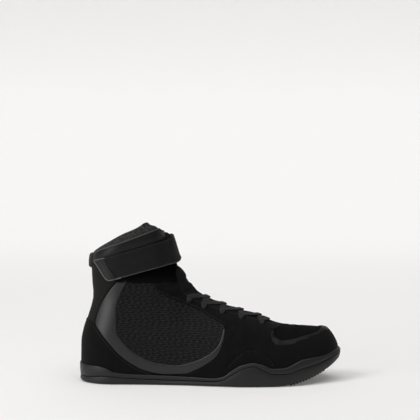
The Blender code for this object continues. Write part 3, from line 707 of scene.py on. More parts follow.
def panel_mesh(name, outline, thickness=OVERLAY, rounding=EDGE_ROUND, spacing=1.8, holes=()):
    """A sewn-on panel: the skin inside an outline, raised by its thickness, with a rolled edge.
    Each hole is a girth place, a ring and a radius, and is punched through."""
    edge = resampled(np.asarray(outline, float), 0.8)
    flat = edge * PANEL_SCALE
    turn = np.sum(flat[:, 0] * np.roll(flat[:, 1], -1) - np.roll(flat[:, 0], -1) * flat[:, 1])
    inward = -1.0 if turn > 0 else 1.0
    rolls = [step_left(edge, inward * rounding * share, True) for share in (0.2, 0.55, 1.0)]
    rims = [circle_on_skin((q, v), radius * share) for q, v, radius in holes for share in (1.15, 0.8)]
    steps = spacing / PANEL_SCALE
    low, high = edge.min(axis=0), edge.max(axis=0)
    columns, rows = (np.arange(low[axis], high[axis], steps[axis]) for axis in range(2))
    grid = np.stack(np.meshgrid(columns, rows), -1)
    grid[1::2, :, 0] += steps[0] / 2
    grid = grid.reshape(-1, 2)
    grid = grid[inside_outline(grid, edge)]
    tree = kdtree.KDTree(len(edge))
    for number, point in enumerate(skin(*edge.T)):
        tree.insert(point, number)
    tree.balance()
    depth = np.array([tree.find(point)[2] for point in skin(*grid.T)])
    grid = grid[depth > rounding + spacing * 0.45]
    middles = np.array([skin(q, v) for q, v, _ in holes]).reshape(-1, 3)
    radii = np.array([radius for _, _, radius in holes])
    if len(holes):
        apart = np.linalg.norm(skin(*grid.T)[:, None] - middles[None], axis=2)
        grid = grid[np.all(apart > radii * 1.15 + 0.5, axis=1)]
    vertices = [tuple(point) for point in np.concatenate([edge] + rolls + rims + [grid]) * PANEL_SCALE]
    count = len(edge)
    borders = [(i, (i + 1) % count) for i in range(count)]
    first = count * (1 + len(rolls))
    for rim in rims:
        borders += [(first + i, first + (i + 1) % len(rim)) for i in range(len(rim))]
        first += len(rim)
    found = geometry.delaunay_2d_cdt(vertices, borders, [list(range(count))], 1, 1e-7)
    spots = np.array([tuple(point) for point in found[0]]) / PANEL_SCALE
    base = skin(*spots.T)
    depth = np.array([tree.find(point)[2] for point in base])
    depth[[min(sources, default=count) < count for sources in found[3]]] = 0.0
    height = (thickness + SUNK) * quarter_round(depth / rounding) - SUNK
    faces = np.array([list(face) for face in found[2]])
    if len(holes):
        apart = np.linalg.norm(base[:, None] - middles[None], axis=2) / radii
        height -= 0.8 * thickness * smoothstep(1.12, 0.82, apart.min(axis=1))
        face_apart = np.linalg.norm(base[faces].mean(axis=1)[:, None] - middles[None], axis=2) / radii
        faces = faces[face_apart.min(axis=1) > 0.78]
    mesh = bpy.data.meshes.new(name)
    mesh.from_pydata((skin(spots[:, 0], spots[:, 1], height) * MM).tolist(), [], faces.tolist())
    facing = np.array([polygon.normal for polygon in mesh.polygons])
    if np.sum(facing * normal(*spots[faces].mean(axis=1).T)) < 0:
        mesh.flip_normals()
    mesh.shade_smooth()
    return mesh


suede, suede_shader = principled("black_suede", (0.0045, 0.0045, 0.0045), 0.95, 0.08)
suede_shader.inputs["Sheen Weight"].default_value = 0.035
suede_shader.inputs["Sheen Roughness"].default_value = 0.5
suede_nap = pattern(suede, "ShaderNodeTexNoise", Scale=1800.0, Detail=3.0, Roughness=0.65)
suede_brush = pattern(suede, "ShaderNodeTexNoise", Scale=70.0, Detail=2.0, Roughness=0.5)
tone(suede, suede_shader, suede_brush.outputs["Fac"], (0.0022, 0.0022, 0.0022), (0.0056, 0.0056, 0.0055))
bump(suede, suede_shader, suede_nap.outputs["Fac"], 0.35, 0.0003)

band_outer = smooth_through(BAND_OUTER, 160)
band_inner = smooth_through(BAND_INNER, 140)
RAND_ENDS = (-142.0, 141.0)     # X of the panels' ends behind the rand, at heel and toe
COUNTER_FRONT = (-60.0, 12.6)   # where the counter runs in behind the rand
counter_side = np.concatenate((COUNTER_STEP[:1], stretch(band_outer, COUNTER_STEP[1], COUNTER_FRONT),
                               rand_edge(COUNTER_FRONT[0], RAND_ENDS[0], 30)))
counter_outline = np.concatenate((place(counter_side, LATERAL)[::-1], place(counter_side, MEDIAL)))
add_piece("heel_counter_suede", panel_mesh("counter", counter_outline), suede, "suede", "heel_counter")

SIDES = ((LATERAL, "lateral"), (MEDIAL, "medial"))
THROAT_MARGIN = 0.3
WRAP_TOP_RING = 8.12         # the wrap's upper end at the throat
WRAP_REAR = (-34.0, 12.0)    # where its lower edge leaves the rand and follows the crescent
LOBE_RING = 4.2              # where the eyestay's front end leaves the throat's edge
arc_line = smooth_through(PERFORATION_ARC, 200)
wrap_halves = {}
eyelets = {}
throat_lines = {}
wrap_holes = []
for side in (LATERAL, MEDIAL):
    low_edge = np.concatenate((rand_edge(RAND_ENDS[1], WRAP_REAR[0], 80),
                               stretch(band_outer, WRAP_REAR, BAND_OUTER[-1]),
                               smooth_through(EYESTAY_SEAM, 60)))
    low_edge = place(low_edge, side)
    throat_rings = np.linspace(WRAP_TOP_RING, LOBE_RING, 90)
    throat_edge = from_ridge(throat_half(throat_rings) + THROAT_MARGIN, throat_rings, side)
    throat_lines[side] = np.stack((throat_edge, throat_rings), axis=1)
    top_run = np.linspace(low_edge[-1], throat_lines[side][0], 24)
    front = place(smooth_through(EYESTAY_LOBE + UNDER_FILM, 50), side)
    wrap_halves[side] = np.concatenate((low_edge, top_run[1:], throat_lines[side][1:], front,
                                        [(side, ridge_ring(UNDER_FILM_RIDGE_X))]))
    eyelet_line = throat_lines[side]
    for _ in range(4):
        eyelet_line = step_left(eyelet_line, EYELET_EDGE / 4 * side)
    eyelets[side] = [tuple(eyelet_line[np.argmin(np.abs(throat_rings - v))]) for v in EYELET_RINGS]
    wrap_holes += [(q, v, EYELET_RADIUS) for q, v in eyelets[side]]
    arc = resampled(place(arc_line, side), PERFORATION_PITCH, False)
    for row in range(2):
        shifted = step_left(arc, row * PERFORATION_PITCH * 0.8 * side)
        spots = (shifted[:-1] + shifted[1:]) / 2 if row % 2 else shifted
        along_x = skin(*spots.T)[:, 0]
        dotted = np.any([(along_x > start) & (along_x < stop) for start, stop in PERFORATION_SPANS],
                        axis=0)
        wrap_holes += [(q, v, PERFORATION_RADIUS) for q, v in spots[dotted]]
wrap_outline = np.concatenate((past_ridge(wrap_halves[LATERAL]), past_ridge(wrap_halves[MEDIAL])[::-1]))
wrap_punched = [(q + 2 if q < 0 else q, v, radius) for q, v, radius in wrap_holes]
wrap_mesh = panel_mesh("wrap", wrap_outline, holes=wrap_punched)
BACKING_HIGH = 0.6           # the grey backing fills the inner row of holes up to here
BACKING_INSETS = (1.3, 3.6)  # its two edges, inside the outer row


def grained(name, colour, roughness, specular, scale):
    """A material with a fine grain: its tone and its height vary a little all over."""
    material, shader = principled(name, colour, roughness, specular)
    grain = pattern(material, "ShaderNodeTexNoise", Scale=scale, Detail=2.0, Roughness=0.6)
    dark, light = ([share * value for value in colour] for share in (0.6, 1.4))
    tone(material, shader, grain.outputs["Fac"], dark, light)
    bump(material, shader, grain.outputs["Fac"], 0.3, 0.0003)
    return material


backing = grained("perforation_backing", (0.060, 0.0595, 0.059), 0.8, 0.1, 900.0)
for side, word in SIDES:
    backing_arc = resampled(place(arc_line, side), PERFORATION_PITCH, False)
    near_edge, far_edge = (step_left(backing_arc, inset * side) for inset in BACKING_INSETS)
    backing_mesh = panel_mesh("backing", np.concatenate((near_edge, far_edge[::-1])),
                              thickness=BACKING_HIGH, rounding=0.4, spacing=1.0)
    add_piece("perforation_backing_" + word, backing_mesh, backing, "textile")
add_piece("wrap_suede", wrap_mesh, suede, "suede", "suede_wrap")

# Ankle and heel cloth
# Two inserts of plain cloth. A black stretch panel bridges the ankle between eyestay and strap, with painted
# strap shadow.
# A smooth dark cloth covers the heel above the counter.
ANKLE_LINE = ((-101.0, 111.4), (-90.0, 111.0), (-84.0, 109.6), (-60.0, 109.0), (-36.0, 109.4))
ANKLE_TOP_RING = 9.1
STRAP_SHADOW_HEIGHTS = (108.0, 119.0)  # heights between which painted shadow of the strap takes the cloth from dark grey to black
ANKLE_THICK = 1.25
HEEL_TOP_RING = 9.9
HEEL_THICK = 0.35
# Painted shadow: the cloth darkens with height towards the strap for the strap's shadow, and its black base
# is partly painted shade too.
stretch_cloth, stretch_shader = principled("black_stretch_painted_shadow", (0.0010, 0.0010, 0.0010), 0.95, 0.03)
stretch_rib = pattern(stretch_cloth, "ShaderNodeTexNoise", Scale=1500.0, Detail=2.0)
strap_shadow_fade = by_height(stretch_cloth, STRAP_SHADOW_HEIGHTS[0] * MM, STRAP_SHADOW_HEIGHTS[1] * MM)
tone(stretch_cloth, stretch_shader, strap_shadow_fade, (0.0042, 0.0042, 0.0042), (0.0008, 0.0008, 0.0008))
bump(stretch_cloth, stretch_shader, stretch_rib.outputs["Fac"], 0.3, 0.0003)
for side, word in SIDES:
    ankle_rings = np.linspace(WRAP_TOP_RING - 0.06, ANKLE_TOP_RING, 20)
    ankle_edge = from_ridge(throat_half(ankle_rings) + THROAT_MARGIN, ankle_rings, side)
    ankle_throat = np.stack((ankle_edge, ankle_rings), axis=1)
    ankle_low = place(smooth_through(ANKLE_LINE, 40), side)
    ankle_top = np.linspace((ankle_edge[-1], ANKLE_TOP_RING), (ankle_low[0, 0], ANKLE_TOP_RING), 30)
    ankle_outline = np.concatenate((ankle_low, ankle_throat, ankle_top[1:]))
    ankle_mesh = panel_mesh("ankle", ankle_outline, thickness=ANKLE_THICK, spacing=1.5)
    add_piece("ankle_panel_" + word, ankle_mesh, stretch_cloth, "textile")


def embossed(name, colour, roughness, specular, strength, depth, kind, **values):
    """A material of one tone, with a relief all over from a texture on Object coordinates."""
    material, shader = principled(name, colour, roughness, specular)
    texture = pattern(material, kind, **values)
    height = texture.outputs["Distance" if kind == "ShaderNodeTexVoronoi" else "Fac"]
    bump(material, shader, height, strength, depth)
    return material


heel_cloth = embossed("heel_cloth", (0.0062, 0.0059, 0.0056), 0.75, 0.15, 0.3, 0.0003,
                      "ShaderNodeTexNoise", Scale=1100.0, Detail=2.0, Roughness=0.6)
heel_halves = []
for side in (LATERAL, MEDIAL):
    heel_rise = stretch(band_outer, COUNTER_STEP[1], BAND_OUTER[0])
    heel_front = place(np.concatenate((COUNTER_STEP[:1], heel_rise)), side)
    heel_top = np.linspace((heel_front[-1, 0], HEEL_TOP_RING), (0.0, HEEL_TOP_RING), 20)
    heel_halves.append(np.concatenate((heel_front, heel_top)))
heel_outline = np.concatenate((heel_halves[0], heel_halves[1][::-1][1:]))
heel_mesh = panel_mesh("heel", heel_outline, thickness=HEEL_THICK, rounding=0.4, spacing=2.2)
add_piece("heel_panel", heel_mesh, heel_cloth, "textile")

# Satin film
# Smooth synthetic leather with a fine grain and a low gloss: the crescent that frames the mesh on
# each side, and a narrow strip that is pressed on round the vamp.
FILM_THICK = 1.3
BAND_ROUND = 0.9
CORD_RADIUS = 0.6            # the black cord in the crescent's rear edge, a painted shade line for the groove there
CORD_HIGH = 0.8
FILM_OUTER = (
    (66.6, 57.8), (65.5, 53.0), (66.6, 47.6), (70.4, 42.8), (77.0, 40.6), (85.5, 41.0), (93.0, 43.0),
    (105.6, 46.2), (115.0, 48.8), (122.0, 50.8), (127.0, 53.4),
)
FILM_INNER = (
    (69.2, 57.8), (69.2, 54.0), (71.0, 50.0), (78.8, 47.4), (92.6, 48.6), (102.0, 50.6), (110.5, 52.0),
    (118.0, 53.8), (121.6, 55.6),
)
FILM_OUTER_RIDGE_X = 132.0
FILM_INNER_RIDGE_X = 125.0
film, film_shader = principled("satin_film", (0.010, 0.010, 0.0099), 0.36, 0.41)
film_grain = pattern(film, "ShaderNodeTexVoronoi", Scale=1300.0)
film_cloud = pattern(film, "ShaderNodeTexNoise", Scale=40.0, Detail=2.0)
tone(film, film_shader, film_cloud.outputs["Fac"], (0.0075, 0.0075, 0.0075), (0.012, 0.0119, 0.0118))
bump(film, film_shader, film_grain.outputs["Distance"], 0.25, 0.0003)

band_outline = np.concatenate((band_outer, band_inner[::-1]))
for side, word in SIDES:
    band_mesh = panel_mesh("band", place(band_outline, side), thickness=FILM_THICK, rounding=BAND_ROUND)
    add_piece("quarter_band_film_" + word, band_mesh, film, "film", "quarter_band_" + word)


def tube_mesh(name, line, radius, sides=10):
    """A round cord along a line of points in millimetres, with rounded ends."""
    line = np.asarray(line, float)
    ahead = unit(np.gradient(line, axis=0))
    outward = np.zeros_like(line)
    guess = np.array((0.0, 0.0, 1.0)) if abs(ahead[0, 2]) < 0.8 else np.array((1.0, 0.0, 0.0))
    for number, direction in enumerate(ahead):
        guess = unit(guess - direction * np.dot(guess, direction))
        outward[number] = guess
    beside = np.cross(ahead, outward)
    walked = path_length(line)
    to_end = np.minimum(walked, walked[-1] - walked) / radius
    size = radius * quarter_round(np.maximum(to_end, 0.02))
    angles = np.linspace(0, math.tau, sides, endpoint=False)
    ring = (np.cos(angles)[None, :, None] * outward[:, None]
            + np.sin(angles)[None, :, None] * beside[:, None])
    return grid_mesh(name, line[:, None] + ring * size[:, None, None], closed_columns=True)


# Painted shade: a near-black cord along the crescent's rear edge down to the counter stands for the shaded
# groove there.
groove_shade_cord = grained("groove_shade_cord", (0.0008, 0.0008, 0.0008), 0.9, 0.02, 1500.0)
for side, word in SIDES:
    cord_spots = resampled(place(stretch(band_outer, BAND_OUTER[0], COUNTER_STEP[1]), side), 1.5, False)
    cord_mesh = tube_mesh("cord", skin(*cord_spots.T, CORD_HIGH), CORD_RADIUS)
    add_piece("band_edge_shade_cord_" + word, cord_mesh, groove_shade_cord, "film")


def to_ridge(line, count, ridge_x, side):
    """A side-view line on one side of the toe, led on to the ridge."""
    spots = place(smooth_through(line, count), side)
    return past_ridge(np.concatenate((spots, [(side, ridge_ring(ridge_x))])))


outer_lateral, outer_medial = (to_ridge(FILM_OUTER, 60, FILM_OUTER_RIDGE_X, side) for side, _ in SIDES)
inner_lateral, inner_medial = (to_ridge(FILM_INNER, 50, FILM_INNER_RIDGE_X, side) for side, _ in SIDES)
film_outline = np.concatenate((outer_lateral, outer_medial[::-1], inner_medial, inner_lateral[::-1]))
film_mesh = panel_mesh("film", film_outline, thickness=FILM_THICK, rounding=0.6, spacing=1.2)
strip = embossed("pressed_strip", (0.0014, 0.0014, 0.0014), 0.40, 0.16, 0.2, 0.0003,
                 "ShaderNodeTexVoronoi", Scale=1300.0)
add_piece("vamp_film_strip", film_mesh, strip, "film", "vamp_film")

# Mesh quarters
# Ribbed polyester mesh, set into the window between crescent and eyestay on each side. Its edges
# are sewn in under both, so it goes on a little way beneath them.
RIB_PITCH = 2.4
RIB_HEIGHT = 0.9
DASH_PITCH = 6.4             # along a rib, from one thin place to the next
RIB_SLANT = 0.08             # fall of the ribs towards the toe
MESH_BASE = 0.12             # the mesh lies this far over the nylon
MESH_UNDER = 1.6             # and goes on this far under crescent and eyestay
MESH_ROWS = 230
MESH_COLUMNS = 150
MESH_TOP = 111.0
KNIT_PITCH = 1.1
mesh_cloth, mesh_shader = principled("ribbed_mesh", (0.005, 0.005, 0.005), 0.65, 0.15)
mesh_knit = pattern(mesh_cloth, "ShaderNodeTexWave", "UV", bands_direction="X",
                    Scale=wave_scale(KNIT_PITCH), Distortion=1.2, Detail=1.0)
# Painted light and shade: the tone is lighter on the rib crests and darker in the valleys between ribs and
# where the ribs thin.
rib_painted_light_and_shade = node(mesh_cloth, "ShaderNodeMath", operation="MULTIPLY")
for socket, direction, pitch in zip(rib_painted_light_and_shade.inputs, ("Y", "X"), (RIB_PITCH, DASH_PITCH)):
    wave = pattern(mesh_cloth, "ShaderNodeTexWave", "UV", bands_direction=direction, Scale=wave_scale(pitch))
    wire(mesh_cloth, wave.outputs["Fac"], socket)
tone(mesh_cloth, mesh_shader, rib_painted_light_and_shade.outputs["Value"],
     (0.0007, 0.0007, 0.0007), (0.0180, 0.0179, 0.0178))
bump(mesh_cloth, mesh_shader, mesh_knit.outputs["Fac"], 0.35, 0.0003)

window_left = stretch(band_inner, BAND_INNER[0], BAND_LOWEST)[::-1]
window_right = np.concatenate((stretch(band_inner, BAND_LOWEST, BAND_INNER[-1]),
                               smooth_through(EYESTAY_SEAM, 60)))
for side, word in SIDES:
    coarse_z = np.linspace(window_left[0, 1] - 1.0, MESH_TOP, 60)
    left_x = np.interp(coarse_z, window_left[:, 1], window_left[:, 0]) - MESH_UNDER
    right_x = np.interp(coarse_z, window_right[:, 1], window_right[:, 0]) + MESH_UNDER
    across = np.linspace(0, 1, 50)
    coarse_x = left_x[:, None] + (right_x - left_x)[:, None] * across[None]
    level = np.repeat(coarse_z[:, None], len(across), axis=1)
    spots = place(np.stack((coarse_x.ravel(), level.ravel()), axis=1), side)
    spots = spots.reshape(len(coarse_z), len(across), 2)
    fine_z = np.linspace(coarse_z[0], coarse_z[-1], MESH_ROWS)
    fine_across = np.linspace(0, 1, MESH_COLUMNS)
    layers = [spots[..., 0], spots[..., 1], coarse_x]
    for axis, (old, new) in enumerate(((coarse_z, fine_z), (across, fine_across))):
        layers = [np.apply_along_axis(lambda line: np.interp(new, old, line), axis, layer)
                  for layer in layers]
    fine_q, fine_v, fine_x = layers
    ripple = 0.16 * np.sin(fine_x / 6.0) + 0.10 * np.sin(fine_x / 2.3 + fine_z[:, None])
    phase = (fine_z[:, None] + RIB_SLANT * fine_x) / RIB_PITCH + ripple
    dash_x = fine_x + DASH_PITCH * 3.7 * np.sin(12.9898 * np.floor(phase))
    dash = 0.72 - 0.28 * np.cos(math.tau * dash_x / DASH_PITCH)
    rib = MESH_BASE + RIB_HEIGHT * np.sqrt(np.abs(np.sin(np.pi * phase))) * dash
    mesh_uvs = np.stack((dash_x, (phase - 0.5) * RIB_PITCH), axis=-1)
    window = grid_mesh("mesh", skin(fine_q, fine_v, rib), uv=mesh_uvs)
    if side == LATERAL:
        window.flip_normals()
    add_piece("mesh_quarter_" + word, window, mesh_cloth, "textile")

# Seams
# Black polyester thread in lockstitch, along the edges of suede and film. One small oval stitch is
# repeated along each seam line by geometry nodes.
STITCH_PITCH = 2.9
STITCH_LENGTH = 2.1
STITCH_RADIUS = 0.34
thread = grained("black_thread", (0.010, 0.010, 0.010), 0.6, 0.3, 2600.0)


def stitch_tree(material):
    """Geometry nodes that set oval stitches at even steps along the lines of a mesh."""
    tree = bpy.data.node_groups.new("stitches", "GeometryNodeTree")
    tree.interface.new_socket("Geometry", in_out="INPUT", socket_type="NodeSocketGeometry")
    for label in ("Pitch", "Length", "Radius"):
        tree.interface.new_socket(label, in_out="INPUT", socket_type="NodeSocketFloat")
    tree.interface.new_socket("Geometry", in_out="OUTPUT", socket_type="NodeSocketGeometry")
    made = {kind: tree.nodes.new(kind) for kind in (
        "NodeGroupInput", "GeometryNodeMeshToCurve", "GeometryNodeResampleCurve",
        "GeometryNodeInputTangent", "FunctionNodeAlignRotationToVector", "ShaderNodeCombineXYZ",
        "GeometryNodeMeshIcoSphere", "GeometryNodeSetShadeSmooth", "GeometryNodeInstanceOnPoints",
        "GeometryNodeRealizeInstances", "GeometryNodeSetMaterial", "NodeGroupOutput")}
    made["GeometryNodeResampleCurve"].mode = "LENGTH"
    made["FunctionNodeAlignRotationToVector"].axis = "X"
    made["GeometryNodeMeshIcoSphere"].inputs["Radius"].default_value = 1.0
    made["GeometryNodeMeshIcoSphere"].inputs["Subdivisions"].default_value = 2
    made["GeometryNodeSetMaterial"].inputs["Material"].default_value = material
    for source, out_name, target, in_name in (
            ("NodeGroupInput", "Geometry", "GeometryNodeMeshToCurve", "Mesh"),
            ("GeometryNodeMeshToCurve", "Curve", "GeometryNodeResampleCurve", "Curve"),
            ("NodeGroupInput", "Pitch", "GeometryNodeResampleCurve", "Length"),
            ("GeometryNodeResampleCurve", "Curve", "GeometryNodeInstanceOnPoints", "Points"),
            ("GeometryNodeMeshIcoSphere", "Mesh", "GeometryNodeSetShadeSmooth", "Geometry"),
            ("GeometryNodeSetShadeSmooth", "Geometry", "GeometryNodeInstanceOnPoints", "Instance"),
            ("GeometryNodeInputTangent", "Tangent", "FunctionNodeAlignRotationToVector", "Vector"),
            ("FunctionNodeAlignRotationToVector", "Rotation", "GeometryNodeInstanceOnPoints", "Rotation"),
            ("NodeGroupInput", "Length", "ShaderNodeCombineXYZ", "X"),
            ("NodeGroupInput", "Radius", "ShaderNodeCombineXYZ", "Y"),
            ("NodeGroupInput", "Radius", "ShaderNodeCombineXYZ", "Z"),
            ("ShaderNodeCombineXYZ", "Vector", "GeometryNodeInstanceOnPoints", "Scale"),
            ("GeometryNodeInstanceOnPoints", "Instances", "GeometryNodeRealizeInstances", "Geometry"),
            ("GeometryNodeRealizeInstances", "Geometry", "GeometryNodeSetMaterial", "Geometry"),
            ("GeometryNodeSetMaterial", "Geometry", "NodeGroupOutput", "Geometry")):
        tree.links.new(made[source].outputs[out_name], made[target].inputs[in_name])
    return tree


def stitches(name, lines, material, slot,
             pitch=STITCH_PITCH, length=STITCH_LENGTH, radius=STITCH_RADIUS):
    """Stitches along lines of points in millimetres, as a plain mesh."""
    bm = bmesh.new()
    for line in lines:
        row = [bm.verts.new(point * MM) for point in line]
        for start, stop in zip(row[:-1], row[1:]):
            bm.edges.new((start, stop))
    guide = bpy.data.meshes.new(name)
    bm.to_mesh(guide)
    bm.free()
    item = bpy.data.objects.new(name + "_guide", guide)
    scene.collection.objects.link(item)
    modifier = item.modifiers.new("Stitches", "NODES")
    modifier.node_group = stitch_tree(material)
    sizes = {"Pitch": pitch, "Length": length / 2, "Radius": radius}
    for socket in modifier.node_group.interface.items_tree:
        if socket.name in sizes:
            modifier[socket.identifier] = sizes[socket.name] * MM
    made = bpy.data.meshes.new_from_object(item.evaluated_get(bpy.context.evaluated_depsgraph_get()))
    bpy.data.objects.remove(item)
    return add_piece(name, made, material, slot)


SEAM_INSET = 2.0
SEAM_SUNK = 0.05
SEAM_STEP = 1.5              # between two points of a seam's line
EYESTAY_SEAM_END = (-56.0, 99.0)
COUNTER_SEAM_END = (-66.0, 14.0)
STIPPLE_ROWS = (1.0, 3.4, 4.8)   # from the crescent's inner edge at the upper rear, beside its seam
STIPPLE_END = (-96.0, 50.0)
STIPPLE_HIGH = 1.2
STIPPLE_SIZES = {"pitch": 1.5, "length": 0.8, "radius": 0.35}
eyestay_rear = stretch(smooth_through(EYESTAY_SEAM, 60), EYESTAY_SEAM[0], EYESTAY_SEAM_END)
counter_edge = stretch(band_outer, COUNTER_STEP[1], COUNTER_SEAM_END)
stipple_edge = stretch(band_inner, BAND_INNER[0], STIPPLE_END)
seam_lines = []
stipple_lines = []
for side in (LATERAL, MEDIAL):
    for line, high in ((throat_lines[side], OVERLAY), (place(eyestay_rear, side), OVERLAY),
                       (place(counter_edge, side), OVERLAY), (place(band_inner, side), FILM_THICK)):
        spots = step_left(resampled(line, SEAM_STEP, False), SEAM_INSET * side)
        seam_lines.append(skin(*spots.T, high - SEAM_SUNK))
    rear_edge = resampled(place(stipple_edge, side), SEAM_STEP, False)
    for row in STIPPLE_ROWS:
        stipple_lines.append(skin(*step_left(rear_edge, row * side).T, STIPPLE_HIGH))
stitches("panel_seams", seam_lines, thread, "suede")
stitches("band_stipple", stipple_lines, thread, "film", **STIPPLE_SIZES)

# Tongue
# A padded strip of woven nylon behind the laces. It starts under the vamp, widens under both
# eyestays and stands up in front of the shin as part of the collar.
TONGUE = 3.2
TONGUE_UNDER = 9.0           # beyond the throat's edge on each side
TONGUE_DROP = WALL + 0.5     # its face lies this far under the skin
TONGUE_PAD = 3.0
LACED_SHARE = 0.55           # the pad is pressed to this share of its height under the laces
COLLAR_GAP = 8.0             # half opening between the collar's two front ends
CUFF_TOP = (
    (-131.0, 142.5), (-120.0, 149.2), (-110.0, 154.5), (-94.3, 162.6), (-80.0, 168.8), (-74.0, 172.4),
    (-70.2, 175.4), (-67.6, 175.4), (-64.4, 173.0), (-59.0, 171.4), (-54.4, 167.4), (-48.0, 160.0),
)
CUFF_DIP = 4.0               # the medial side is cut this much lower
TONGUE_LIFT = 0.8            # the tongue stands this much higher than the cuff's front ends
TONGUE_PINCH = 5.2           # and is pressed in under the strap
TONGUE_PINCH_HEIGHT = 129.5
TONGUE_PINCH_HALF = 5.0
TONGUE_LOW_RING = 3.8
TONGUE_PAD_RINGS = (4.2, 5.4)      # between these rings the pad swells up
TONGUE_CLEAR_RINGS = (7.0, 7.8)    # between these it comes clear of the laces
TONGUE_FREE_RINGS = (9.6, 10.4)    # and between these it narrows to stand in the collar's gap
TONGUE_LEAST_THROAT = 9.0
TONGUE_SLACK = 1.2           # between its edge and the collar's front end


def across_ridge(distance, v):
    """Girth place at a signed distance from the ridge, lateral side negative."""
    distance = np.asarray(distance, float)
    lateral = -(1 + distance / girth(v, LATERAL))
    medial = 1 - distance / girth(v, MEDIAL)
    return np.where(distance < 0, lateral, medial)


def top_ring(place_of, first, lift=0.0):
    """Ring at which a column of the skin reaches the cuff's top line. place_of gives the girth
    places of all columns on a ring."""
    xs, zs = zip(*CUFF_TOP)

    def is_under(v):
        points = read_table(skin_table, place_of(v), v)
        return points[:, 2] < smooth_curve(xs, zs, points[:, 0]) + lift
    return halved(np.full(len(place_of(first)), float(first)), len(RINGS) - 1.0, is_under)


def tongue_half(v):
    """Half width of the tongue on ring v."""
    free = smoothstep(*TONGUE_FREE_RINGS, v)
    laced = np.maximum(throat_half(v), TONGUE_LEAST_THROAT) + TONGUE_UNDER
    return laced * (1 - free) + (COLLAR_GAP - TONGUE_SLACK) * free


def end_round(share, start):
    """1 along a strip, and down to 0 in a round from a share of the way to its end."""
    return np.sqrt(1 - smoothstep(start, 1.0, np.abs(share)) ** 2)


tongue_across = np.linspace(-1, 1, 41)
tongue_top = top_ring(lambda v: across_ridge(tongue_across * tongue_half(v), v), 10.0, TONGUE_LIFT)
tongue_top = np.median(tongue_top) - 0.12 * np.abs(tongue_across) ** 3
tongue_up = np.linspace(0, 1, 150)[:, None]
tongue_v = TONGUE_LOW_RING + (tongue_top[None] - TONGUE_LOW_RING) * tongue_up
tongue_d = tongue_across[None] * tongue_half(tongue_v)
tongue_q = across_ridge(tongue_d, tongue_v)
tongue_pad = TONGUE_PAD * (1 - np.abs(tongue_across[None]) ** 3)
tongue_pad = tongue_pad * smoothstep(*TONGUE_PAD_RINGS, tongue_v)
tongue_clear = smoothstep(*TONGUE_CLEAR_RINGS, tongue_v)
tongue_pad = tongue_pad * (LACED_SHARE + (1 - LACED_SHARE) * tongue_clear)
tongue_pad = tongue_pad * (1 - 0.25 * tongue_clear * np.cos(math.tau * tongue_v * 1.25))
tongue_roll = end_round(tongue_up, 0.965) - 1
tongue_high = skin(tongue_q, tongue_v)[..., 2]
tongue_in = TONGUE_PINCH * np.exp(-((tongue_high - TONGUE_PINCH_HEIGHT) / TONGUE_PINCH_HALF) ** 2)
tongue_out = -TONGUE_DROP - 0.4 + tongue_pad + 2.0 * tongue_roll - tongue_in
tongue_points = skin(tongue_q, tongue_v, tongue_out)
tongue_uv = np.stack((tongue_d, np.cumsum(np.full(tongue_v.shape, 1.2), axis=0)), axis=-1)
tongue_face = grid_mesh("tongue", tongue_points, uv=tongue_uv)
tongue_face.flip_normals()
tongue_cloth = woven_cloth("tongue_nylon", (0.005, 0.005, 0.005), (0.024, 0.0238, 0.0235))
tongue = add_piece("padded_tongue", solidified(tongue_face, TONGUE), tongue_cloth, "textile", "tongue")

# Collar
# A foam collar in smooth satin nylon runs round the ankle above the strap. A knit cuff is sewn
# into it and stands up higher, and a thin satin piping covers the seam between them.
PAD_LOW_RING = 9.85
PAD_SEAM_RING = 10.80        # where cuff and pad are sewn together at the heel
PAD_SEAM_RISE = (0.26, 0.18)   # and how much higher on the sides, and again at the front
PAD_SWELL = 1.2
CUFF = 2.8
CUFF_DROP = 0.5
CUFF_LOW_RING = 10.5
PIPING_RADIUS = 0.7
collar_satin = embossed("collar_satin", (0.0030, 0.0032, 0.0035), 0.46, 0.26, 0.15, 0.0003,
                        "ShaderNodeTexNoise", Scale=900.0, Detail=2.0)


def collar_place(share, v):
    """Girth places round the collar, from share -1 at the lateral front end to 1 at the medial."""
    return round_opening(share, v, COLLAR_GAP)


def collar_seam(share):
    """Ring of the seam between pad and cuff."""
    beside, ahead = PAD_SEAM_RISE
    away = np.abs(share)
    return PAD_SEAM_RING + beside * smoothstep(0.0, 0.4, away) + ahead * smoothstep(0.4, 0.95, away)


cuff_s = np.linspace(-1, 1, 281)
cuff_dip = CUFF_DIP * smoothstep(0.1, 0.5, cuff_s) * (1 - smoothstep(0.86, 0.98, cuff_s))
cuff_top = top_ring(lambda v: collar_place(cuff_s, v), CUFF_LOW_RING, -cuff_dip)
pad_s = np.linspace(-1, 1, 221)[None]
pad_rise = np.linspace(0, 1, 40)[:, None]
pad_top = np.minimum(collar_seam(pad_s), np.interp(pad_s, cuff_s, cuff_top) - 0.08)
pad_v = PAD_LOW_RING + (pad_top - PAD_LOW_RING) * pad_rise
pad_out = PAD_SWELL * np.sin(np.pi * pad_rise ** 0.8) ** 0.8 * end_round(pad_s, 0.96) - 0.2
pad_mesh = grid_mesh("pad", skin(collar_place(pad_s, pad_v), pad_v, pad_out))
pad_mesh.flip_normals()
collar_pad = add_piece("collar_pad", pad_mesh, collar_satin, "textile")

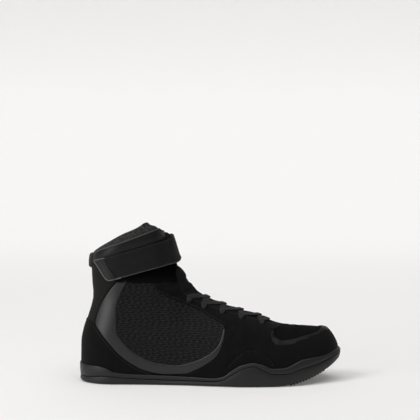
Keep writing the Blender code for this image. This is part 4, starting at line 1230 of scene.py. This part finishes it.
knit, knit_shader = principled("speckled_knit", (0.016, 0.0158, 0.0155), 0.85, 0.2)
knit_rib = pattern(knit, "ShaderNodeTexWave", "UV", bands_direction="X",
                   Scale=wave_scale(1.6), Distortion=0.8, Detail=1.0)
knit_loop = pattern(knit, "ShaderNodeTexWave", "UV", bands_direction="Y",
                    Scale=wave_scale(1.2), Distortion=1.5, Detail=1.0)
knit_fleck = pattern(knit, "ShaderNodeTexNoise", "UV", Scale=0.5, Detail=2.0, Roughness=0.7)
knit_ramp = tone(knit, knit_shader, knit_fleck.outputs["Fac"],
                 (0.008, 0.008, 0.008), (0.072, 0.0716, 0.0712))
knit_ramp.color_ramp.elements[0].position = 0.40
knit_ramp.color_ramp.elements[1].position = 0.68
knit_ribs = bump(knit, knit_shader, knit_rib.outputs["Fac"], 0.5, 0.0004)
bump(knit, knit_shader, knit_loop.outputs["Fac"], 0.4, 0.0003, knit_ribs)

cuff_edge, cuff_below = (read_table(skin_table, collar_place(cuff_s, v), v)
                         for v in (cuff_top, cuff_top - 0.1))
round_v = CUFF / 2 / (np.linalg.norm(cuff_edge - cuff_below, axis=1) / 0.1)
straight = np.linspace(0, 1, 22)
bend = np.linspace(0, np.pi, 12)[1:-1]
cuff_face = CUFF_LOW_RING + (cuff_top - round_v - CUFF_LOW_RING) * straight[:, None]
cuff_v = np.concatenate((cuff_face, cuff_top - round_v + round_v * np.sin(bend)[:, None], cuff_face[::-1]))
cuff_across = np.concatenate((np.ones(22), np.cos(bend), -np.ones(22)))[:, None]
cuff_out = -CUFF_DROP - CUFF / 2 + CUFF / 2 * cuff_across * end_round(cuff_s, 0.985)[None]
cuff_q = np.stack([collar_place(cuff_s, row) for row in cuff_v])
cuff_points = skin(cuff_q, cuff_v, cuff_out)
cuff_walk = np.cumsum(np.full(cuff_v.shape, 1.0), axis=0)
cuff_uv = np.stack((cuff_q * girth(11.0, LATERAL), cuff_walk), axis=-1)
cuff_mesh = grid_mesh("cuff", cuff_points, uv=cuff_uv)
cuff_mesh.flip_normals()
cuff = add_piece("knit_cuff", cuff_mesh, knit, "knit", "collar_cuff")

piping = grained("collar_piping", (0.042, 0.042, 0.0416), 0.48, 0.4, 1400.0)
piping_s = np.linspace(-0.985, 0.985, 260)
piping_v = np.interp(piping_s, pad_s[0], pad_top[0]) + 0.03
piping_line = skin(collar_place(piping_s, piping_v), piping_v, 0.1)
add_piece("collar_piping", tube_mesh("piping", piping_line, PIPING_RADIUS), piping, "textile")

# Ankle strap
# Woven webbing with hook-and-loop behind it, sewn to the medial side and closed on the lateral
# side. Its end is capped with satin leather and edged with piping.
STRAP = 2.4
STRAP_WIDTH = 26.0
STRAP_GAP = 0.6
STRAP_LIFT = 2.6             # the strap bridges the tongue at the front
STRAP_LIFT_FROM = 26.0       # and starts to leave the skin this far behind the ridge
STRAP_END = ((-109.0, 9.0), (-125.0, 10.0))       # X of the slanted lateral end, ring by ring
STRAP_CAP = ((-99.5, 9.0), (-115.0, 10.0))        # X of the leather's sewn edge
STRAP_ANCHOR = ((-112.0, 9.0), (-112.0, 10.0))    # X where it is sewn to the medial side
STRAP_CORNER = 0.16          # corners are rounded over this share of the width
STRAP_CORNER_LENGTH = 4.0
STRAP_RISE = 5.0             # the strap climbs this much round the front, and sinks again behind
STRAP_CLIMB = (-14.0, 12.0)  # distances from the ridge over which it climbs
STRAP_SINK = (30.0, 70.0)    # and over which it sinks


def strap_reach(slanted, v, side):
    """Distance along the skin from the ridge to a slanted line across the strap."""
    (low_x, low_v), (high_x, high_v) = slanted
    x = low_x + (high_x - low_x) * (v - low_v) / (high_v - low_v)
    return (1 - abs(girth_place(x, v, side))) * girth(v, side)


def strap_point(distance, width, out):
    """Point of the strap at signed distances from the ridge, a share of the width, off the skin."""
    v = PLACE["strap_lower"] + width
    points = skin(across_ridge(distance, v), v, out)
    ridge_x = ring_value("ridge_x", v)
    points[..., 0] += STRAP_LIFT * smoothstep(ridge_x - STRAP_LIFT_FROM, ridge_x, points[..., 0])
    up = smoothstep(*STRAP_CLIMB, distance) * (1 - smoothstep(*STRAP_SINK, distance))
    points[..., 2] += STRAP_RISE * up
    return points


webbing, webbing_shader = principled("strap_webbing", (0.006, 0.006, 0.0059), 0.75, 0.18)
webbing_twill = pattern(webbing, "ShaderNodeTexWave", "UV", bands_direction="DIAGONAL",
                        Scale=wave_scale(1.5), Distortion=0.5)
webbing_cloud = pattern(webbing, "ShaderNodeTexNoise", "UV", Scale=0.12, Detail=3.0)
tone(webbing, webbing_shader, webbing_cloud.outputs["Fac"],
     (0.0035, 0.0035, 0.0035), (0.0085, 0.0084, 0.0083))
bump(webbing, webbing_shader, webbing_twill.outputs["Fac"], 0.4, 0.0003)

widths = np.linspace(0, 1, 61)
lateral_reach, cap_reach, medial_reach = (
    np.array([strap_reach(slanted, PLACE["strap_lower"] + width, side) for width in widths])
    for slanted, side in ((STRAP_END, LATERAL), (STRAP_CAP, LATERAL), (STRAP_ANCHOR, MEDIAL)))
into_corner = np.minimum(widths, 1 - widths) / STRAP_CORNER
lateral_reach = lateral_reach - STRAP_CORNER_LENGTH * (1 - quarter_round(into_corner))

EDGE_TURN = 0.045            # share of the width over which the strap's long edges are rounded
turn = np.linspace(-np.pi / 2, np.pi / 2, 9)
flat = np.linspace(EDGE_TURN, 1 - EDGE_TURN, 40)
profile_w = np.concatenate((flat, 1 - EDGE_TURN + EDGE_TURN * np.cos(turn[::-1][1:-1]),
                            flat[::-1], EDGE_TURN - EDGE_TURN * np.cos(turn[1:-1])))
middle_out = STRAP_GAP + STRAP / 2
profile_out = np.concatenate((np.full(40, STRAP / 2), STRAP / 2 * np.sin(turn[::-1][1:-1]),
                              np.full(40, -STRAP / 2), STRAP / 2 * np.sin(turn[1:-1]))) + middle_out
along = np.linspace(0, 1, 221)[:, None]
strap_start = np.interp(profile_w, widths, lateral_reach)[None]
strap_stop = np.interp(profile_w, widths, medial_reach)[None]
strap_d = -strap_start + (strap_start + strap_stop) * along
strap_out = middle_out + (profile_out[None] - middle_out) * end_round(2 * along - 1, 0.988)
strap_uv = np.stack(np.broadcast_arrays(strap_d, profile_w[None] * STRAP_WIDTH), axis=-1)
strap_points = strap_point(strap_d, profile_w[None], strap_out)
strap_mesh = grid_mesh("strap", strap_points, closed_columns=True, uv=strap_uv)
add_piece("ankle_strap_webbing", strap_mesh, webbing, "webbing", "ankle_strap")

LINING_SPAN = (-10.0, 45.0)  # the loop lining lies behind the strap's front; it is pale, and paler still as painted light where it lies in shade
# Painted light: the lining's pale tone is raised so that its edge at the strap's front shows lit though it
# lies in shade.
lining = embossed("pale_lining_painted_light", (0.50, 0.49, 0.48), 0.9, 0.2, 0.6, 0.0005,
                  "ShaderNodeTexNoise", Scale=1600.0, Detail=2.0)
lining_d, lining_w = np.meshgrid(np.linspace(*LINING_SPAN, 60), np.linspace(0.05, 0.95, 24))
lining_mesh = grid_mesh("lining", strap_point(lining_d, lining_w, STRAP_GAP - 0.08))
add_piece("strap_lining", lining_mesh, lining, "webbing")

leather = embossed("strap_leather", (0.0055, 0.0055, 0.0054), 0.46, 0.27, 0.2, 0.0003,
                   "ShaderNodeTexVoronoi", Scale=1100.0)
CAP_THICK = 1.1
CAP_EDGES = (0.03, 0.97)     # of the strap's width
CAP_LENGTH = 12.0            # about, from its end to its sewn edge
CAP_ROUND = 0.7
CAP_INSET = 0.8              # from the strap's edge to the leather's edge
cap_across = np.linspace(0, 1, 41)[:, None]
cap_width = np.linspace(*CAP_EDGES, 41)[None]
cap_from = np.interp(cap_width, widths, lateral_reach) - CAP_INSET
cap_to = np.interp(cap_width, widths, cap_reach)
cap_d = -(cap_from + (cap_to - cap_from) * cap_across)
edge_d = np.minimum(cap_across, 1 - cap_across) * CAP_LENGTH
edge_w = np.minimum(cap_width - CAP_EDGES[0], CAP_EDGES[1] - cap_width) * STRAP_WIDTH
cap_rise = quarter_round(np.minimum(edge_d, edge_w) / CAP_ROUND)
cap_out = STRAP_GAP + STRAP - SUNK + (CAP_THICK + SUNK) * cap_rise
cap_mesh = grid_mesh("cap", strap_point(cap_d, cap_width, cap_out))
add_piece("strap_end_leather", cap_mesh, leather, "film", "strap_end")

RIM_RADIUS = 0.7
RIM_TOP = 0.985              # share of the strap's width at which the piping lies
RIM_BACK_TOP = 14.0          # and how far it runs back from the end, on the upper and lower edge
RIM_BACK_LOW = 12.5
HEM_RADIUS = 0.5
HEM_WIDTH = 0.02
HEM_ENDS = (13.0, 3.0)       # the hem's piping stops this far short of the strap's two ends
rim_out = STRAP_GAP + STRAP + 0.3
rim_down = np.linspace(RIM_TOP, 1 - RIM_TOP, 61)
rim_w = np.concatenate((np.full(30, rim_down[0]), rim_down[1:-1], np.full(30, rim_down[-1])))
rim_end = np.interp(rim_w, widths, lateral_reach)
rim_back = np.concatenate((np.linspace(RIM_BACK_TOP, 0, 30), np.zeros(59), np.linspace(0, RIM_BACK_LOW, 30)))
rim_line = strap_point(-(rim_end - rim_back), rim_w, rim_out)
rim_satin = grained("rim_satin", (0.080, 0.080, 0.0792), 0.45, 0.5, 1400.0)
add_piece("strap_end_piping", tube_mesh("rim", rim_line, RIM_RADIUS), rim_satin, "film")
hem_d = np.linspace(HEM_ENDS[0] - lateral_reach[1], medial_reach[1] - HEM_ENDS[1], 200)
hem_line = strap_point(hem_d, HEM_WIDTH, rim_out - 0.4)
hem_satin = grained("hem_satin", (0.030, 0.030, 0.0297), 0.5, 0.4, 1400.0)
add_piece("strap_hem_piping", tube_mesh("hem", hem_line, HEM_RADIUS), hem_satin, "webbing")

CAP_SEAMS = (1.6, 3.4)       # two rows inside the leather's sewn edge
CAP_STITCH = {"pitch": 2.2, "length": 1.5, "radius": 0.4}
EDGE_SEAMS = (0.07, 0.93)    # shares of the width
stitch_w = np.linspace(0.05, 0.95, 30)
cap_seams = []
for inset in CAP_SEAMS:
    seam_d = -(np.interp(stitch_w, widths, cap_reach) + inset)
    cap_seams.append(strap_point(seam_d, stitch_w, STRAP_GAP + STRAP + CAP_THICK - SEAM_SUNK))
dull_thread = grained("dull_thread", (0.002, 0.002, 0.002), 0.9, 0.1, 2600.0)
stitches("strap_end_seams", cap_seams, dull_thread, "webbing", **CAP_STITCH)
edge_seams = []
for width in EDGE_SEAMS:
    seam_d = np.linspace(-(np.interp(width, widths, cap_reach) - 2.0), medial_reach[30] - 3.0, 120)
    edge_seams.append(strap_point(seam_d, width, STRAP_GAP + STRAP - SEAM_SUNK))
stitches("strap_seams", edge_seams, thread, "webbing")

# Heel tab
# A small pull tab of ribbed webbing over a pad, with rounded corners. It is sewn flat onto the
# back of the collar.
TAB_HALF_WIDTH = 14.0
TAB_HALF_HEIGHT = 8.4
TAB_MIDDLE_HEIGHT = 133.0
TAB_THICK = 3.4
TAB_POWER = 3.2              # roundness of its corners
TAB_ROUND = 2.8


def blunt(wave, power):
    """A wave with its rounds drawn out, so that a circle becomes a rounded rectangle."""
    return np.sign(wave) * np.abs(wave) ** power


tab_angles = np.linspace(0, math.tau, 60, endpoint=False)
tab_across = TAB_HALF_WIDTH * blunt(np.cos(tab_angles), 2 / TAB_POWER)
tab_height = TAB_MIDDLE_HEIGHT + TAB_HALF_HEIGHT * blunt(np.sin(tab_angles), 2 / TAB_POWER)
tab_v = np.interp(tab_height, ring_value("back_z", skin_rings), skin_rings)
tab_outline = np.stack((tab_across / girth(tab_v, MEDIAL), tab_v), axis=1)
tab_cloth = embossed("tab_webbing", (0.022, 0.0214, 0.0208), 0.75, 0.25, 0.5, 0.0004,
                     "ShaderNodeTexWave", bands_direction="Z", Scale=wave_scale(1.4 * MM), Distortion=0.4)
tab_mesh = panel_mesh("tab", tab_outline, thickness=TAB_THICK, rounding=TAB_ROUND, spacing=0.9)
add_piece("heel_pull_tab", tab_mesh, tab_cloth, "webbing", "heel_tab")

# Sole
# A black rubber outsole cup and a rubber rand, moulded apart and glued round the upper with a
# groove between them. Short ribs mark the edge under heel and toe.
SOLE_COLUMNS = 320
RAND = 2.1
GROOVE_HALF = 0.35
GROOVE_DEEP = 1.2
SIDE_RIBS = ((-118.0, -74.0), (84.0, 128.0))
SIDE_RIB_PITCH = 3.5
SIDE_RIB_DEEP = 1.0
TOE_SWELL = 1.6              # the sole's toe end bulges this far at the groove
TOE_SWELL_SPAN = (126.0, 141.0)
GLUE_GAP = 0.3               # between the upper and the rubber
wall_out = GLUE_GAP + RAND


def sole_ring(height, outward):
    """Closed ring round the foot at a height that depends on X, off the skin: lateral side from
    heel to toe, then medial side back."""
    s = np.linspace(0, 1, SOLE_COLUMNS + 1)
    s = 0.5 * s + 0.25 * (1 - np.cos(np.pi * s))
    q = np.concatenate((-s, s[-2:0:-1]))
    v = np.zeros(len(q))
    for _ in range(4):
        goal = height(read_table(skin_table, q, v)[:, 0])
        v = halved(np.zeros(len(q)), 2.0, lambda ring: read_table(skin_table, q, ring)[:, 2] < goal)
    points = read_table(skin_table, q, v)
    ahead = np.roll(points, -2, axis=0) - np.roll(points, 2, axis=0)
    sideways = unit(np.stack((ahead[:, 1], -ahead[:, 0]), axis=1))
    if callable(outward):
        outward = outward(points[:, 0])[:, None]
    moved = points[:, :2] + sideways * outward
    return np.concatenate((moved, height(points[:, 0])[:, None]), axis=1)


def sole_line(name, extra=0.0, other=None, share=0.0):
    """Height along the sole: a column of its table, or a share of the way to another column."""
    def height(x):
        base = table_curve(SOLE, name, x) + extra
        return base if other is None else base + (table_curve(SOLE, other, x) - base) * share
    return height


def rounded(outward, swell):
    """A distance off the skin that swells or shrinks round the toe."""
    def distance(x):
        return outward + swell * smoothstep(*TOE_SWELL_SPAN, x)
    return distance


def ribbed(outward, swell):
    """The same, with dips between the ribs under heel and toe."""
    def distance(x):
        here = sum(smoothstep(start, start + 4, x) * (1 - smoothstep(stop - 4, stop, x))
                   for start, stop in SIDE_RIBS)
        dip = SIDE_RIB_DEEP * here * (0.5 + 0.5 * np.cos(math.tau * x / SIDE_RIB_PITCH)) ** 2
        return rounded(outward, swell)(x) - dip
    return distance


rubber, rubber_shader = principled("black_rubber", (0.009, 0.009, 0.0089), 0.48, 0.34)
rubber_grain = pattern(rubber, "ShaderNodeTexNoise", Scale=1400.0, Detail=2.0)
rubber_cloud = pattern(rubber, "ShaderNodeTexNoise", Scale=30.0, Detail=3.0)
tone(rubber, rubber_shader, rubber_cloud.outputs["Fac"],
     (0.0060, 0.0060, 0.0059), (0.0104, 0.0103, 0.0102))
bump(rubber, rubber_shader, rubber_grain.outputs["Fac"], 0.2, 0.0003)

RAND_PROFILE = (             # line and height over it, distance off the wall, share of the toe's swell
    (("rand_top",), -wall_out, 0.0),
    (("rand_top",), -1.3, 0.0),
    (("rand_top", -0.15), -0.75, 0.0),
    (("rand_top", -0.6), -0.25, 0.0),
    (("rand_top", -1.3), 0.0, 0.3),
    (("rand_top", -1.3, "groove", 0.5), 0.15, 0.8),
    (("groove", GROOVE_HALF + 0.5), 0.1, 1.0),
    (("groove", GROOVE_HALF + 0.15), -0.1, 1.0),
    (("groove", GROOVE_HALF), -0.4, 1.0),
    (("groove", GROOVE_HALF), -GROOVE_DEEP, 1.0),
    (("groove",), -GROOVE_DEEP, 1.0),
)


def profile_rings(profile, edge=rounded):
    """Rings round the sole for the rows of a profile."""
    return [sole_ring(sole_line(*line), edge(wall_out + off, share * TOE_SWELL))
            for line, off, share in profile]


rand_mesh = grid_mesh("rand", np.stack(profile_rings(RAND_PROFILE)), closed_columns=True)
rand_mesh.flip_normals()
add_piece("rubber_rand", rand_mesh, rubber, "rubber", "midsole_rand")
HIGHLIGHT_BEAD_SPAN = (-22.0, 50.0)    # X of the lighter, glossier bead over the hump, a painted highlight on the rand's top edge
BEAD_RADIUS = 0.5
BEAD_INSET = 0.45            # below the rand's top edge, and in from its face
# Painted highlight: the bead is lighter than the rubber and laid only where the rand's top edge catches the
# light.
bead_painted_highlight = grained("bead_painted_highlight", (0.020, 0.020, 0.0198), 0.4, 0.5, 1400.0)
bead_ring = sole_ring(sole_line("rand_top", -BEAD_INSET), wall_out - BEAD_INSET)
bead_halves = (("lateral", bead_ring[:SOLE_COLUMNS + 1]), ("medial", bead_ring[SOLE_COLUMNS:][::-1]))
for word, half in bead_halves:
    bead_line = half[(half[:, 0] > HIGHLIGHT_BEAD_SPAN[0]) & (half[:, 0] < HIGHLIGHT_BEAD_SPAN[1])]
    add_piece("rand_highlight_bead_" + word, tube_mesh("bead", bead_line, BEAD_RADIUS), bead_painted_highlight, "rubber")

LIP = 3.0
TREAD_DEEP = 1.2             # from the walking face up to the floor between the treads
CUP_WALL = (                 # the same columns, from the groove down to the lip
    (("groove",), -RAND, 0.0),
    (("groove",), -GROOVE_DEEP, 1.0),
    (("groove", -GROOVE_HALF), -GROOVE_DEEP, 1.0),
    (("groove", -GROOVE_HALF), -0.4, 1.0),
    (("groove", -GROOVE_HALF - 0.15), -0.1, 1.0),
    (("groove", -GROOVE_HALF - 0.5), 0.1, 1.0),
    (("groove", -GROOVE_HALF - 0.5, "bottom", 0.35), 0.35, 0.8),
    (("bottom", LIP), 0.6, 0.1),
)
CUP_RIBS = (                 # round the lower edge, where the short ribs are
    (("bottom", 2.2), 0.5, -0.2),
    (("bottom", 1.3), 0.1, -0.5),
    (("bottom", 0.7), -0.7, -0.8),
    (("bottom", 0.2), -2.0, -1.0),
)
CUP_FLOOR = (                # and in under the foot
    (("bottom",), -3.2, 0.0),
    (("bottom",), -5.2, 0.0),
    (("bottom", TREAD_DEEP), -5.6, 0.0),
)
cup_rings = [sole_ring(lambda x: floor_height(x) - GLUE_GAP, GLUE_GAP)]
cup_rings += profile_rings(CUP_WALL) + profile_rings(CUP_RIBS, ribbed) + profile_rings(CUP_FLOOR)


def closed_plate(name, rings):
    """Rings from the inside top round to the bottom, closed above and below by strips."""
    mesh = grid_mesh(name, np.stack(rings), closed_columns=True)
    bm = bmesh.new()
    bm.from_mesh(mesh)
    bm.verts.ensure_lookup_table()
    count = len(rings[0])
    half = count // 2
    for first in (0, (len(rings) - 1) * count):
        for j in range(half):
            across = ((count - j - 1) % count, (count - j) % count)
            corners = dict.fromkeys((j, j + 1) + across)
            bm.faces.new([bm.verts[first + number] for number in corners])
    bmesh.ops.recalc_face_normals(bm, faces=bm.faces)
    bm.to_mesh(mesh)
    bm.free()
    mesh.shade_smooth()
    return mesh


add_piece("rubber_outsole", closed_plate("cup", cup_rings), rubber, "rubber", "outsole")

TREAD_PITCH = 5.0
TREAD_LENGTH = 3.0
TREAD_EDGE = 7.5             # from the wall's outer face to the end of a tread bar
TREAD_SPANS = ((-128.0, -62.0), (8.0, 86.0))   # X of the bars under heel and forefoot
TOE_TREAD_PITCH = 3.4
TOE_TREAD_LENGTH = 2.2
TOE_TREAD_EDGE = 2.6
TOE_TREAD_DROP = 1.1         # the bars under the raised toe stand out below its edge
TOE_TREAD_SPAN = (86.0, 126.0)


def tread_bars(name, spans, pitch, length, edge, drop, material):
    """Flat bars across the walking face, from one edge of the sole to the other."""
    ring = sole_ring(sole_line("bottom"), wall_out - edge)
    lateral = ring[:SOLE_COLUMNS + 1]
    medial = np.concatenate((ring[SOLE_COLUMNS + 1:][::-1], ring[SOLE_COLUMNS:SOLE_COLUMNS + 1]))
    bm = bmesh.new()
    for x in np.concatenate([np.arange(first, last, pitch) for first, last in spans]):
        corners = []
        for at in (x, x + length):
            ys = [float(np.interp(at, half[:, 0], half[:, 1])) for half in (lateral, medial)]
            base = float(table_curve(SOLE, "bottom", at))
            corners += [(at, y, base + up) for y in ys for up in (-drop, TREAD_DEEP + 0.2)]
        verts = [bm.verts.new(np.array(corner) * MM) for corner in corners]
        for face in ((0, 2, 6, 4), (0, 4, 5, 1), (2, 3, 7, 6), (0, 1, 3, 2), (4, 6, 7, 5)):
            bm.faces.new([verts[number] for number in face])
    bmesh.ops.recalc_face_normals(bm, faces=bm.faces)
    mesh = bpy.data.meshes.new(name)
    bm.to_mesh(mesh)
    bm.free()
    add_piece(name, mesh, material, "rubber")


# The toe bars get a darker rubber than the other bars: partly the tread's own dark tone, partly painted
# shade under the raised toe.
dark_tread_and_shade = grained("dark_tread_and_shade", (0.0030, 0.0030, 0.0030), 0.8, 0.1, 1200.0)
tread_bars("tread_bars", TREAD_SPANS, TREAD_PITCH, TREAD_LENGTH, TREAD_EDGE, 0.0, rubber)
tread_bars("toe_tread_bars", (TOE_TREAD_SPAN,), TOE_TREAD_PITCH, TOE_TREAD_LENGTH, TOE_TREAD_EDGE,
           TOE_TREAD_DROP, dark_tread_and_shade)

# Insole
# A loose foam footbed covered with black cloth, cut to the inside of the sole and laid in. It
# shows only from above, through the collar.
INSOLE = 3.5
INSOLE_EDGE = -(WALL + 1.0)
footbed = grained("footbed_cloth", (0.014, 0.014, 0.0145), 0.9, 0.15, 1300.0)
footbed_rings = []
for high, off in ((INSOLE, -2.0), (INSOLE - 0.3, -0.7), (INSOLE - 1.0, 0.0), (0.3, 0.0)):
    footbed_rings.append(sole_ring(lambda x: floor_height(x) + high, INSOLE_EDGE + off))
footbed_piece = add_piece("footbed", closed_plate("footbed", footbed_rings), footbed, "foam", "insole")

# Lace
# One flat braided lace. It drops into each eyelet from above, comes out under the eyestay's edge
# and crosses over the tongue to the next eyelet on the other side. Its ends stop at the top ones.
LACE_WIDTH = 6.2
LACE = 1.3
RINGS_APART = 12.0           # rough millimetres from ring to ring along the throat
lace_cotton, lace_shader = principled("braided_lace", (0.022, 0.0218, 0.0215), 0.75, 0.3)
lace_braid = pattern(lace_cotton, "ShaderNodeTexWave", "UV", bands_direction="DIAGONAL",
                     Scale=wave_scale(1.7))
tone(lace_cotton, lace_shader, lace_braid.outputs["Fac"],
     (0.0035, 0.0035, 0.0035), (0.017, 0.0168, 0.0166))
bump(lace_cotton, lace_shader, lace_braid.outputs["Fac"], 0.5, 0.0004)


def lace_mesh(knots):
    """Ribbon through knots, each a signed distance from the ridge, a ring and a height."""
    steps = (1.0, RINGS_APART, 1.0)
    route = smooth_through(np.asarray(knots, float) * steps, 64) / steps
    q = across_ridge(route[:, 0], route[:, 1])
    points = skin(q, route[:, 1], route[:, 2])
    ahead = unit(np.gradient(points, axis=0))
    beside = unit(np.cross(normal(q, route[:, 1]), ahead))
    face = np.cross(ahead, beside)
    walked = path_length(points)
    squeeze = smoothstep(0.0, 7.0, walked[-1] - walked)
    half_wide = LACE_WIDTH / 2 * (0.55 + 0.45 * squeeze)
    half_thick = LACE / 2 * (1.5 - 0.5 * squeeze)
    angles = np.linspace(0, math.tau, 16, endpoint=False)
    wide = blunt(np.cos(angles), 0.6)
    thick = blunt(np.sin(angles), 0.8)
    section = (points[:, None] + beside[:, None] * (half_wide[:, None] * wide[None])[..., None]
               + face[:, None] * (half_thick[:, None] * thick[None])[..., None])
    uv = np.stack(np.broadcast_arrays(walked[:, None], wide[None] * LACE_WIDTH / 2), axis=-1)
    return grid_mesh("lace", section, closed_columns=True, uv=uv)


def eyelet_knots(side, number):
    """End of a run: from the throat's edge over the suede to an eyelet, and down into it."""
    half = float(throat_half(EYELET_RINGS[number]))
    q, v = eyelets[side][number]
    reach = float((1 - abs(q)) * girth(v, side))
    knots = []
    for share, out in ((0.15, 2.2), (0.55, 2.1), (0.9, 1.8), (1.0, -0.8)):
        ring = EYELET_RINGS[number] + (v - EYELET_RINGS[number]) * share
        knots.append((side * (half + (reach - half) * share), ring, out))
    return knots


lace_runs = []
for number, (lower, higher) in enumerate(zip(EYELET_RINGS[:-1], EYELET_RINGS[1:])):
    for start in (LATERAL, MEDIAL):
        climb = higher - lower
        near, far = float(throat_half(lower)), float(throat_half(higher))
        over, beside = (2.1, 2.1) if start == LATERAL else (3.5, 2.6)
        lace_runs.append(lace_mesh([
            (start * (near + 3.5), lower - 0.05, -2.3),
            (start * (near + 0.5), lower + 0.04 * climb, -0.6),
            (start * (near - 3.0), lower + 0.16 * climb, 2.0),
            (start * near * 0.45, lower + 0.36 * climb, beside),
            (0.0, lower + 0.53 * climb, over),
            (-start * far * 0.45, lower + 0.70 * climb, beside + 0.2),
            (-start * (far - 3.5), lower + 0.93 * climb, 2.1),
        ] + eyelet_knots(-start, number + 1)))
for side in (LATERAL, MEDIAL):
    first_half = float(throat_half(EYELET_RINGS[0]))
    bridge = [(0.0, EYELET_RINGS[0], 1.8), (side * first_half * 0.5, EYELET_RINGS[0], 2.2)]
    lace_runs.append(lace_mesh(bridge + eyelet_knots(side, 0)))
lace_bm = bmesh.new()
for run in lace_runs:
    lace_bm.from_mesh(run)
lace_joined = bpy.data.meshes.new("lace")
lace_bm.to_mesh(lace_joined)
lace_bm.free()
lace_joined.shade_smooth()
add_piece("braided_lace", lace_joined, lace_cotton, "cotton", "lace")

# The studio's sweep and what the render hides are not counted.
corners = []
for item in scene.objects:
    if item.type == "MESH" and item is not sweep and not item.hide_render:
        coordinates = np.zeros(len(item.data.vertices) * 3, np.float32)
        item.data.vertices.foreach_get("co", coordinates)
        corners.append(coordinates.reshape(-1, 3))
corners = np.concatenate(corners)
